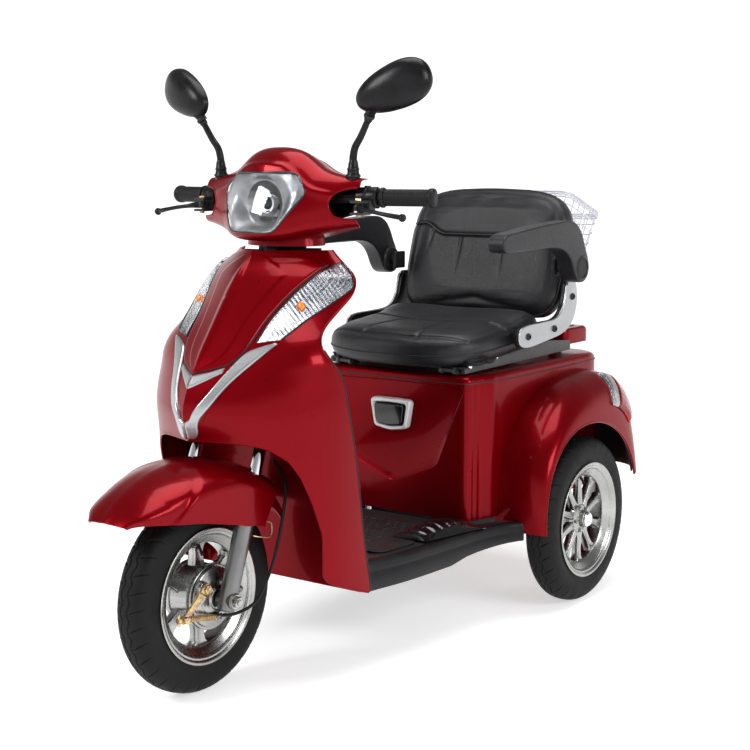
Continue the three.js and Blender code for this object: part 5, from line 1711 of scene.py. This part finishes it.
# --- floor
SILL_OUT = [(214, -298), (238, -180), (252, -40), (262, 90), (282, 165), (303, 203)]
sill_line = spline([(x, y, 0) for x, y in SILL_OUT], 12)
sill_rows = []
for p in sill_line:
    x, y = p[0], p[1]
    bottom = float(np.interp(y, (-298, -30, 30, 192), (169, 172, 181, 189)))
    section = [
        (-9, bottom), (-1.5, bottom), (0, bottom + 2), (0, 206), (-1.6, 209), (-1.6, 211), (0.4, 214),
        (0.8, 224), (-1.0, 229), (-5, 232.4), (-12, 233.6), (-22, 233.2), (-26, 231), (-26, 226.5), (-9, 226),
    ]
    sill_rows.append([(x + dx, y, z) for dx, z in section])
sill = grid(sill_rows, wrap_u=True, caps=True)
deck_edge = [(float(p[0]) - 8, float(p[1])) for p in sill_line if -274 < p[1] < 190]
front_edge = [(0, -262), (150, -268), (205, -276)]
rear_edge = [(242, 190), (232, 150), (214, 98.5), (0, 98.5)]
deck_plan = [*front_edge, *deck_edge, *rear_edge]
deck = prism([*deck_plan, *[(-x, y) for x, y in deck_plan[::-1] if x > 1]], 226, 232, "Z")
piece("floorboard_moulded", joined(deck, sill, flipped(sill)), PLASTIC, "chassis", ["floorboard"], sharp=40)

MAT_PLAN = [(0, -200), (180, -226), (196, -206), (206, -102), (132, -96), (126, 60), (130, 86), (0, 86)]
mat_plan = rounded([*MAT_PLAN, *[(-x, y) for x, y in MAT_PLAN[-2:0:-1]]], 12, 5)
mat_shape = prism(mat_plan, 232.3, 235.4, "Z")
mat_rim = tube(even([(x, y, 235.2) for x, y in mat_plan], 240, closed=True), 1.8, 8, closed=True)
studs_shape = []
for i in range(-5, 6):
    for j in range(-6, 3):
        x, y = i * 22 + (11 if j % 2 else 0), -20 + j * 22
        if abs(x) < 112:
            studs_shape.append(
                turned(
                    [(0, 235), (6.2, 235), (5.6, 236.2), (4, 236.6), (0, 236.6)], (x, y, 0), (0, 0, 1), 12
                )
            )
piece("floor_mat_rubber", joined(mat_shape, mat_rim, *studs_shape), MAT, "chassis", ["floor_mat"], sharp=50)

for side, sign in SIDES:
    rows = []
    for v in np.linspace(0, 1, 61):
        along = lerp(-90, 98, v)
        row = []
        for u in np.linspace(0, 1, 41):
            within = 0 < u < 1 and 0 < v < 1
            rise = 26 * math.sin(math.pi * u) ** 0.7 * math.sin(math.pi * v) ** 0.6 if within else 0
            rib = 2.6 * max(0.0, math.sin(2 * math.pi * along / 24)) ** 2 * step((rise - 9) / 8)
            row.append((196 + 0.2 * along + (2 * u - 1) * 47, along, 236 + rise + rib))
        rows.append(row)
    skirt_rows = slab(rows, 0, -3)
    piece(
        f"foot_step_{side}_ribbed", sided(skirt_rows, sign), GLOSS, "chassis", [f"foot_step_{side}"], sharp=50
    )


# --- seat
VOXEL = 0.0055  # metres
CLOTH_PRESSURE = 4
CLOTH_FRAMES = 20
MOST_SWELL = 22  # millimetres, as is the next
MOST_SHRINK = 1.5
EVENING_ROUNDS = 60


def drape(obj):
    """Swells a mesh with simulated cloth under pressure, and keeps each point near its start."""
    remesh = obj.modifiers.new("remesh", "REMESH")
    remesh.mode = "VOXEL"
    remesh.voxel_size = VOXEL
    settle(obj, 180)
    start = np.array([v.co for v in obj.data.vertices])
    normals = np.array([v.normal for v in obj.data.vertices])
    cloth = obj.modifiers.new("cloth", "CLOTH")
    cloth.settings.use_pressure = True
    cloth.settings.uniform_pressure_force = CLOTH_PRESSURE
    cloth.settings.effector_weights.gravity = 0
    cloth.settings.quality = 5
    cloth.point_cache.frame_start, cloth.point_cache.frame_end = 1, CLOTH_FRAMES
    for number in range(1, CLOTH_FRAMES + 1):
        scene.frame_set(number)
    graph = bpy.context.evaluated_depsgraph_get()
    made = bpy.data.meshes.new_from_object(obj.evaluated_get(graph))
    obj.modifiers.clear()
    obj.data = made
    scene.frame_set(1)
    move = np.array([v.co for v in made.vertices]) - start
    edges = np.array([e.vertices[:] for e in made.edges])
    valence = np.bincount(edges.ravel(), minlength=len(start))[:, None]
    # Stretched leather has no fine folds, so the swell is evened out along the mesh.
    for _ in range(EVENING_ROUNDS):
        total = np.zeros_like(move)
        np.add.at(total, edges[:, 0], move[edges[:, 1]])
        np.add.at(total, edges[:, 1], move[edges[:, 0]])
        move = 0.5 * move + 0.5 * total / np.maximum(valence, 1)
    # The cover swells outwards, but its outline stays where it was sewn.
    along = (move * normals).sum(axis=1, keepdims=True)
    move += normals * np.maximum(0.0, -MOST_SHRINK * MM - along)
    far = np.linalg.norm(move, axis=1, keepdims=True)
    move *= np.minimum(1.0, MOST_SWELL * MM / np.maximum(far, 1e-9))
    made.vertices.foreach_set("co", (start + move).astype(np.float32).ravel())
    made.update()
    return obj


def reshape(obj, change):
    """Moves every point of a mesh by change(points in mm, normals), in mm."""
    mesh = obj.data
    count = len(mesh.vertices)
    co, no = np.zeros(count * 3, np.float32), np.zeros(count * 3, np.float32)
    mesh.vertices.foreach_get("co", co)
    mesh.vertex_normals.foreach_get("vector", no)
    p, n = co.reshape(-1, 3).astype(float) / MM, no.reshape(-1, 3).astype(float)
    out = change(p, n)
    mesh.vertices.foreach_set("co", (out * MM).astype(np.float32).ravel())
    mesh.update()


def local(points, place):
    """World points in the coordinates of a part that a matrix places."""
    back = np.array(place.inverted(), float)
    return points @ back[:3, :3].T + back[:3, 3]


def world(points, place):
    there = np.array(place, float)
    return points @ there[:3, :3].T + there[:3, 3]


def eased(values, start, limit):
    """Values above start flatten out smoothly towards a limit."""
    room = limit - start
    return np.where(values > start, start + room * np.tanh((values - start) / room), values)


def refine(obj):
    level = obj.modifiers.new("fine", "SUBSURF")
    level.levels = level.render_levels = 1
    settle(obj, 60)


def tree_of(obj):
    bm = bmesh.new()
    bm.from_mesh(obj.data)
    made = BVHTree.FromBMesh(bm)
    bm.free()
    return made


def laid(tree, starts, direction, lift=0.0):
    """Points dropped onto a surface along a direction, in mm."""
    out = []
    d = Vector(direction).normalized()
    for p in starts:
        hit = tree.ray_cast(Vector(p) * MM, d)
        if hit[0] is not None:
            out.append(np.array(hit[0]) / MM + np.array(hit[1]) * lift)
    return out


def groove(points, line, width, depth):
    """How far each of some points sinks towards a line of points."""
    line = np.array(line, float)
    best = np.full(len(points), 1e9)
    for a, b in zip(line, line[1:]):
        ab = b - a
        t = np.clip(((points - a) @ ab) / (ab @ ab), 0, 1)
        best = np.minimum(best, np.linalg.norm(points - (a + t[:, None] * ab), axis=1))
    return depth * np.exp(-((best / width) ** 2))


def pillow(outline, levels):
    """A closed loft in plan: levels are (height, how far the outline draws in)."""
    outline = np.array(outline, float)
    middle = outline.mean(axis=0)
    rows = []
    for z, inset in levels:
        ring = []
        for p in outline:
            d = p - middle
            ring.append((*(p - d / np.linalg.norm(d) * inset), z))
        rows.append(ring)
    return grid(rows, wrap_u=True, caps=True)


# The cushion lies on the sloping pan; x across, y along the pan and z above it.
seat_place = Matrix.Translation((0, 0, 590.5)) @ Matrix.Rotation(SEAT_SLOPE, 4, "X")
CUSHION = [
    (0, 55), (60, 58), (118, 70), (166, 90), (200, 122), (216, 165), (222, 240), (223, 330), (222, 396),
    (212, 420), (190, 430), (0, 433),
]
cushion_plan = even(
    spline([*CUSHION, *[(-x, y) for x, y in CUSHION[-2:0:-1]]], 8, closed=True), 150, closed=True
)
cushion_levels = [
    (1.5, 26), (2.5, 14), (8, 6), (20, 1.5), (34, 0.5), (46, 2), (56, 8), (63, 17), (67, 30), (70, 52),
    (72, 80)
]
cushion = raw_object("seat_cushion_leather", placed(pillow(cushion_plan, cushion_levels), seat_place))
drape(cushion)


def shape_cushion(p, n):
    q = local(p, seat_place)
    q[:, 2] = np.maximum(eased(q[:, 2], 56, 84), 0.6)
    # It dips where the rider sits and swells again towards the front.
    dip = np.exp(-((q[:, 0] / 130) ** 2) - ((q[:, 1] - 300) / 110) ** 2)
    top = q[:, 2] > 40
    # The padding is fuller towards the seat back, which rests on it.
    rear = np.clip((q[:, 1] - 300) / 100, 0, 1)
    q[:, 2] += np.where(top, 13 * rear * rear * (3 - 2 * rear) - 7 * dip, 0)
    return world(q, seat_place)


refine(cushion)
reshape(cushion, shape_cushion)
cushion_tree = tree_of(cushion)
down = tuple(-np.array(seat_place, float)[:3, 2])


def on_pan(x, y, z=160.0):
    return tuple(world(np.array((x, y, z)), seat_place))


cross_seam = laid(
    cushion_tree, [on_pan(x, 262 - 10 * math.cos(x / 62)) for x in np.linspace(-214, 214, 90)], down
)
lengthwise = [
    laid(cushion_tree, [on_pan(s * lerp(62, 78, t), lerp(258, 84, t)) for t in np.linspace(0, 1, 34)], down)
    for s in (-1, 1)
]
front_seam = laid(
    cushion_tree,
    [on_pan(x, 84 + 0.0011 * x * x + 0.0000004 * abs(x) ** 3) for x in np.linspace(-190, 190, 90)], down
)
channels = [cross_seam, *lengthwise, front_seam]


def sew(lines, width, depth):
    def change(p, n):
        sink = np.zeros(len(p))
        for line in lines:
            if len(line) > 1:
                sink = np.maximum(sink, groove(p, line, width, depth))
        return p - n * sink[:, None]
    return change


reshape(cushion, sew(channels, 5.0, 3.0))


def upholster(obj, node):
    obj.data.materials.append(LEATHER)
    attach(obj, "seat")
    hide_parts(node)


upholster(cushion, "seat_cushion")


def stitches(tree, lines, direction, away, lift):
    """Short raised stitches beside a seam."""
    out = []
    for line in lines:
        even_line = even(line, max(8, int(sum(np.linalg.norm(b - a) for a, b in zip(line, line[1:])) / 7)))
        for a, b in zip(even_line[:-1], even_line[1:]):
            way = (b - a) / np.linalg.norm(b - a)
            beside = np.cross(way, direction) * away
            ends = [a + (b - a) * k + beside for k in (0.12, 0.88)]
            ends = laid(tree, [e - np.array(direction) * 30 for e in ends], direction, lift)
            if len(ends) == 2 and np.linalg.norm(ends[1] - ends[0]) < 9:
                out.append(tube(ends, 0.55, 6))
    return joined(*out)


def rim_of(tree, plan, count, middle, place, spot):
    """A line round a cushion's rim, found from outside; spot turns plan points into its own."""
    out = []
    for p in even(plan, count, closed=True):
        way = np.array(p) - middle
        way /= np.linalg.norm(way)
        start, end = (world(np.array(spot(*q)), place) for q in (p + way * RIM_REACH, p))
        out += laid(tree, [start], tuple(end - start), 0.3)
    return out


RIM_REACH = 60
cushion_tree = tree_of(cushion)
welt = rim_of(cushion_tree, cushion_plan, 220, (0, 250), seat_place, lambda x, y: (x, y, 27))
piece("seat_cushion_welt", tube(welt, 2.4, 10, closed=True), LEATHER, "seat", sharp=60)
piece(
    "seat_cushion_stitches", stitches(cushion_tree, channels[:1] + channels[3:], down, 5.0, 0.1), RUBBER,
    "seat", sharp=60, slot="leather"
)

# The seat back: x across, y outwards at the rear, z up the back.
back_place = Matrix.Translation((0, 486, 690)) @ Matrix.Rotation(-SEAT_RECLINE, 4, "X")
BACK = [
    (0, -12), (150, -12), (196, -4), (223, 24), (233, 80), (235, 150), (232, 210), (220, 260), (190, 294),
    (140, 311), (70, 318), (0, 320),
]
back_plan = even(spline([*BACK, *[(-x, z) for x, z in BACK[-2:0:-1]]], 8, closed=True), 160, closed=True)
back_levels = [
    (-38, 60), (-34, 34), (-27, 14), (-18, 4), (-6, 0.5), (8, 0.5), (20, 4), (29, 14), (35, 32), (38, 60)
]
lying = pillow(back_plan, back_levels)
upright = (np.stack([lying[0][:, 0], -lying[0][:, 2], lying[0][:, 1]], axis=1), lying[1])
seat_back = raw_object("seat_back_leather", placed(upright, back_place))
drape(seat_back)


def shape_back(p, n):
    q = local(p, back_place)
    front = q[:, 1] < 0
    hollow = np.exp(-((q[:, 0] / 120) ** 2) - ((q[:, 2] - 200) / 130) ** 2)
    q[:, 1] += np.where(front, 7 * hollow, 0)
    q[:, 1] = eased(-eased(-q[:, 1], 24, 50), 28, 48)
    return world(q, back_place)


refine(seat_back)
reshape(seat_back, shape_back)
back_tree = tree_of(seat_back)
inwards = tuple(np.array(back_place, float)[:3, 1])


def before_back(x, z):
    return tuple(world(np.array((x, -120, z)), back_place))


def wavy(x):
    """The height of the piped seam: low in the middle and lifted at each side."""
    return 187 + 30 * step((abs(x) - 112) / 72)


piped = laid(back_tree, [before_back(x, wavy(x)) for x in np.linspace(-226, 226, 120)], inwards, 0.6)
# Each pleat's x and z at its upper and lower end, and its count of points.
PLEATS = [((62, 66), (184, 78), 26), ((150, 158), (196, 150), 12)]
pleats = [
    laid(back_tree, [before_back(s * lerp(*x, t), lerp(*z, t)) for t in np.linspace(0, 1, count)], inwards)
    for x, z, count in PLEATS for s in (-1, 1)
]


def fading(lines, width, depth):
    """Pleats that are deep at their upper end and die away downwards."""
    def change(p, n):
        sink = np.zeros(len(p))
        for line in lines:
            line = np.array(line)
            for k in range(len(line) - 1):
                fade = 1 - k / len(line)
                d = np.linalg.norm(p - line[k], axis=1)
                sink = np.maximum(sink, depth * fade * np.exp(-((d / width) ** 2)))
        return p - n * sink[:, None]
    return change


reshape(seat_back, sew([piped], 5.5, 3.4))
reshape(seat_back, fading(pleats, 5.0, 3.6))
upholster(seat_back, "seat_back")
back_tree = tree_of(seat_back)
piece("seat_back_piping", tube(piped, 2.3, 10), LEATHER, "seat", sharp=60)
welt = rim_of(back_tree, back_plan, 240, (0, 165), back_place, lambda x, z: (x, -16, z))
piece("seat_back_welt", tube(welt, 2.2, 10, closed=True), LEATHER, "seat", sharp=60)
piece(
    "seat_back_stitches", stitches(back_tree, [piped], inwards, 6.0, 0.1), RUBBER, "seat", sharp=60,
    slot="leather"
)
shell_plan = [(x * 0.86, lerp(165, z, 0.86)) for x, z in back_plan]
shell_flat = prism([tuple(p) for p in shell_plan], 41.5, 46, "Y")
piece("seat_back_board", placed(shell_flat, back_place), PLASTIC, "seat", bevel=2)

# --- seat frame, side plates, armrests
PLATE = [
    (252, 652), (258, 640), (270, 633), (300, 630), (380, 638), (455, 648), (490, 660), (515, 680),
    (530, 708), (534, 738), (528, 766), (514, 779), (494, 780), (482, 770), (474, 745), (464, 718),
    (448, 700), (426, 690), (360, 686), (290, 684), (264, 678), (254, 668),
]
plate_outline = np.array(spline(PLATE, 4, closed=True))
for side, sign in SIDES:
    plate_body = prism([tuple(p) for p in plate_outline], 249.2, 255, "X")
    piece(
        f"side_plate_{side}_cast", sided(plate_body, sign), SILVER, "seat",
        [f"side_plate_{side}"], bevel=2.4, round_steps=4,
    )
    centre = plate_outline.mean(axis=0)
    grown = [tuple(p + 1.6 * (p - centre) / np.linalg.norm(p - centre)) for p in plate_outline]
    bracket_shape = sided(prism(grown, 239.5, 249, "X"), sign)
    piece(f"side_bracket_{side}", bracket_shape, SATIN, "seat", bevel=1.5, slot="dark_steel")
    heads = []
    for y, z in ((293, 657), (419, 665), (507, 737)):
        heads.append(
            turned(
                [(0, 244), (8.4, 244), (8.4, 257), (7, 259.5), (4.2, 260), (4.2, 257), (0, 257)], (0, y, z),
                (1, 0, 0), 32
            )
        )
    piece(f"side_plate_bolts_{side}", sided(joined(*heads), sign), SATIN, "seat", slot="dark_steel")

rail_parts = []
for y, z in ((129, 600), (245, 611)):
    rail_parts.append(
        turned(
            [(0, 193), (6.5, 193), (6.5, 197), (5, 199.5), (0, 200)], (0, y, z), (1, 0, 0), 32
        )
    )
rail_bolts = joined(*rail_parts)
piece("seat_rail_bolts", both(rail_bolts), CHROME, "seat")
lever_line = spline([(170, 128, 603), (196, 118, 606), (214, 130, 607), (224, 160, 610)], 8)
slide_lever = joined(tube(lever_line, 4.2, 14), egg((226, 170, 611), (7, 18, 6), 24, 14))
piece("seat_slide_lever", slide_lever, RUBBER, "seat", sharp=50)

ARM = [
    (92, 884), (94, 872), (104, 865), (140, 864), (200, 865), (270, 867), (330, 866), (366, 860), (394, 846),
    (412, 826), (426, 800), (440, 784), (458, 777), (478, 781), (492, 796), (497, 816), (490, 838),
    (476, 862), (464, 886), (448, 908), (424, 923), (396, 928), (350, 926), (250, 919), (160, 910),
    (112, 905), (98, 898),
]
arm_outline = [tuple(p) for p in even(spline(ARM, 4, closed=True), 110, closed=True)]
for side, sign in SIDES:
    body = f"arm_{side[0]}"
    flat_arm = prism(arm_outline, 262, 306, "X")
    arm_obj = piece(
        f"armrest_{side}_pad", sided(flat_arm, sign), LEATHER, body, [f"armrest_{side}"], bevel=16,
        round_steps=8, sharp=60
    )
    hub = turned(
        [
            (0, 256), (30, 256), (34, 260), (35, 266), (35, 300), (32, 306), (24, 308.5), (22, 306.5),
            (0, 306.5)
        ],
        (0, 462, 812), (1, 0, 0), 64
    )
    pin = rod((241, 462, 812), (262, 462, 812), 12, 32)
    piece(f"armrest_{side}_hub", sided(joined(hub, pin), sign), SATIN, body)
    seam_low = [(284, y, z) for y, z in even([(104, 864.6), (330, 865.6)], 40)]
    piece(f"armrest_{side}_seam", sided(tube(seam_low, 1.3, 8), sign), RUBBER, body, sharp=60)
    bracket = block(232, 241, 440, 486, 790, 834)
    piece(f"armrest_{side}_bracket", sided(bracket, sign), SATIN, "seat", bevel=3, slot="dark_steel")

# --- basket
BASKET_H = 145
basket_place = Matrix.Translation((0, 684, 825)) @ Matrix.Rotation(-BASKET_TILT, 4, "X")


def basket_ring(z, inset=0.0, corner=30):
    a = 158 + 12 * z / BASKET_H - inset
    b = 84 + 14 * z / BASKET_H - inset
    return even(rounded([(-a, -b), (a, -b), (a, b), (-a, b)], corner, 8), 128, closed=True)


wires = []
rings = {z: basket_ring(z, 2) for z in (2, 30, 58, 86, 114, 143)}
for z, ring in rings.items():
    thick_wire = 3.2 if z == 143 else (2.4 if z == 2 else 1.9)
    wires.append(tube([(x, y, z) for x, y in ring], thick_wire, 8, closed=True))
wires.append(tube([(x, y, 131) for x, y in basket_ring(131, 1.0)], 2.6, 8, closed=True))
for k in range(0, 128, 4):
    path = [(*rings[2][k] * 0.999, 2.0), (*rings[143][k], 143.0)]
    lean = [
        np.array(path[0]) + (0, 0, -1), np.array(path[0]), lerp(np.array(path[0]), np.array(path[1]), 0.5),
        np.array(path[1])
    ]
    wires.append(tube(lean, 1.7, 6))
for x in range(-140, 141, 20):
    wires.append(tube([(x, -82, 1.2), (x, 82, 1.2)], 1.2, 6))
for y in range(-60, 61, 30):
    wires.append(tube([(-156, y, 2.8), (156, y, 2.8)], 1.2, 6))
wires.append(tube([(x, y, 137) for x, y in basket_ring(137, 1.0)], 2.2, 8, closed=True))
zigzag = []
for k in range(128):
    lift = 131 + (12 if k % 2 else 0)
    zigzag.append((*basket_ring(lift, 2)[k], lift))
wires.append(tube(zigzag, 0.9, 6, closed=True))
for s in (-90, 90):
    wires.append(
        tube(
            spline([(s, -92, 118), (s, -98, 112), (s, -104, 102), (s, -111, 99), (s, -111, 92)], 6), 3.0, 10
        )
    )
piece("basket_wire", placed(joined(*wires), basket_place), WIRE, "seat", ["basket"], sharp=60)


# --- CAD nodes that keep their shape
CARRIED = {
    "steering_stem": STEEL, "handlebar": STEEL, "control_pod_left": PLASTIC, "control_pod_right": PLASTIC,
    "chassis_frame": STEEL, "rear_axle_unit": STEEL, "battery_pack": PLASTIC, "splash_guard": RED,
    "front_axle": STEEL, "seat_hinge_left": STEEL, "seat_hinge_right": STEEL, "seat_base": STEEL,
}
SLOT_LOOKS = {
    "tyre": TYRE, "alloy": ALLOY, "fork": FORK, "dark_steel": STEEL, "zinc": ZINC, "black_rubber": RUBBER,
    "red_paint": RED, "black_plastic": PLASTIC, "black_gloss": GLOSS, "clear_lens": CLEAR, "chrome": CHROME,
    "silver": SILVER, "leather": LEATHER, "white_wire": WIRE,
}
for name, node in NODES.items():
    look = CARRIED.get(name)
    if look is None:
        names = [m.name.split(".")[0] for m in node.data.materials if m]
        look = SLOT_LOOKS.get(names[0] if names else "", PLASTIC)
    node.data.materials.clear()
    node.data.materials.append(look)

# --- stage and light
FLOOR_REACH, FLOOR_LEVEL = 30000, -0.5
corners = [(-1, -1), (1, -1), (1, 1), (-1, 1)]
floor_points = np.array([(x * FLOOR_REACH, y * FLOOR_REACH, FLOOR_LEVEL) for x, y in corners])
floor = raw_object("studio_floor", (floor_points, [(0, 1, 2, 3)]), True)
floor.data.materials.append(stage_floor())

# The sky is white at the horizon and dimmer overhead, so the paint keeps its depth.
SKY_TOP = 0.22
SKY_LOW_Z, SKY_HIGH_Z = 0.12, 0.45
world = bpy.data.worlds.new("studio")
world.use_nodes = True
sky = world.node_tree
direction = sky.nodes.new("ShaderNodeTexCoord")
axes = sky.nodes.new("ShaderNodeSeparateXYZ")
sky.links.new(direction.outputs["Generated"], axes.inputs["Vector"])
fade = sky.nodes.new("ShaderNodeMapRange")
fade.interpolation_type = "SMOOTHSTEP"
for key, value in (("From Min", SKY_LOW_Z), ("From Max", SKY_HIGH_Z), ("To Min", 1.0), ("To Max", SKY_TOP)):
    fade.inputs[key].default_value = value
sky.links.new(axes.outputs["Z"], fade.inputs["Value"])
sky.nodes["Background"].inputs["Color"].default_value = (1.0, 1.0, 1.0, 1)
sky.links.new(fade.outputs["Result"], sky.nodes["Background"].inputs["Strength"])
scene.world = world


def softbox(name, at, target, size, watts):
    data = bpy.data.lights.new(name, "AREA")
    data.shape = "RECTANGLE"
    data.size, data.size_y = size
    data.energy = watts
    light = bpy.data.objects.new(name, data)
    light.location = at
    light.rotation_euler = (Vector(target) - Vector(at)).to_track_quat("-Z", "Y").to_euler()
    scene.collection.objects.link(light)


softbox("key", (-1.6, -3.6, 3.2), (0, -0.2, 0.6), (1.6, 1.6), 90)
softbox("side", (3.8, -0.6, 2.4), (0, 0.1, 0.5), (2.2, 1.4), 60)
softbox("top", (0.2, 0.2, 4.0), (0, 0, 0.5), (2.6, 2.6), 80)
scene.view_settings.view_transform = "Standard"
scene.view_settings.look = "Medium High Contrast"
scene.view_settings.exposure = 0.0
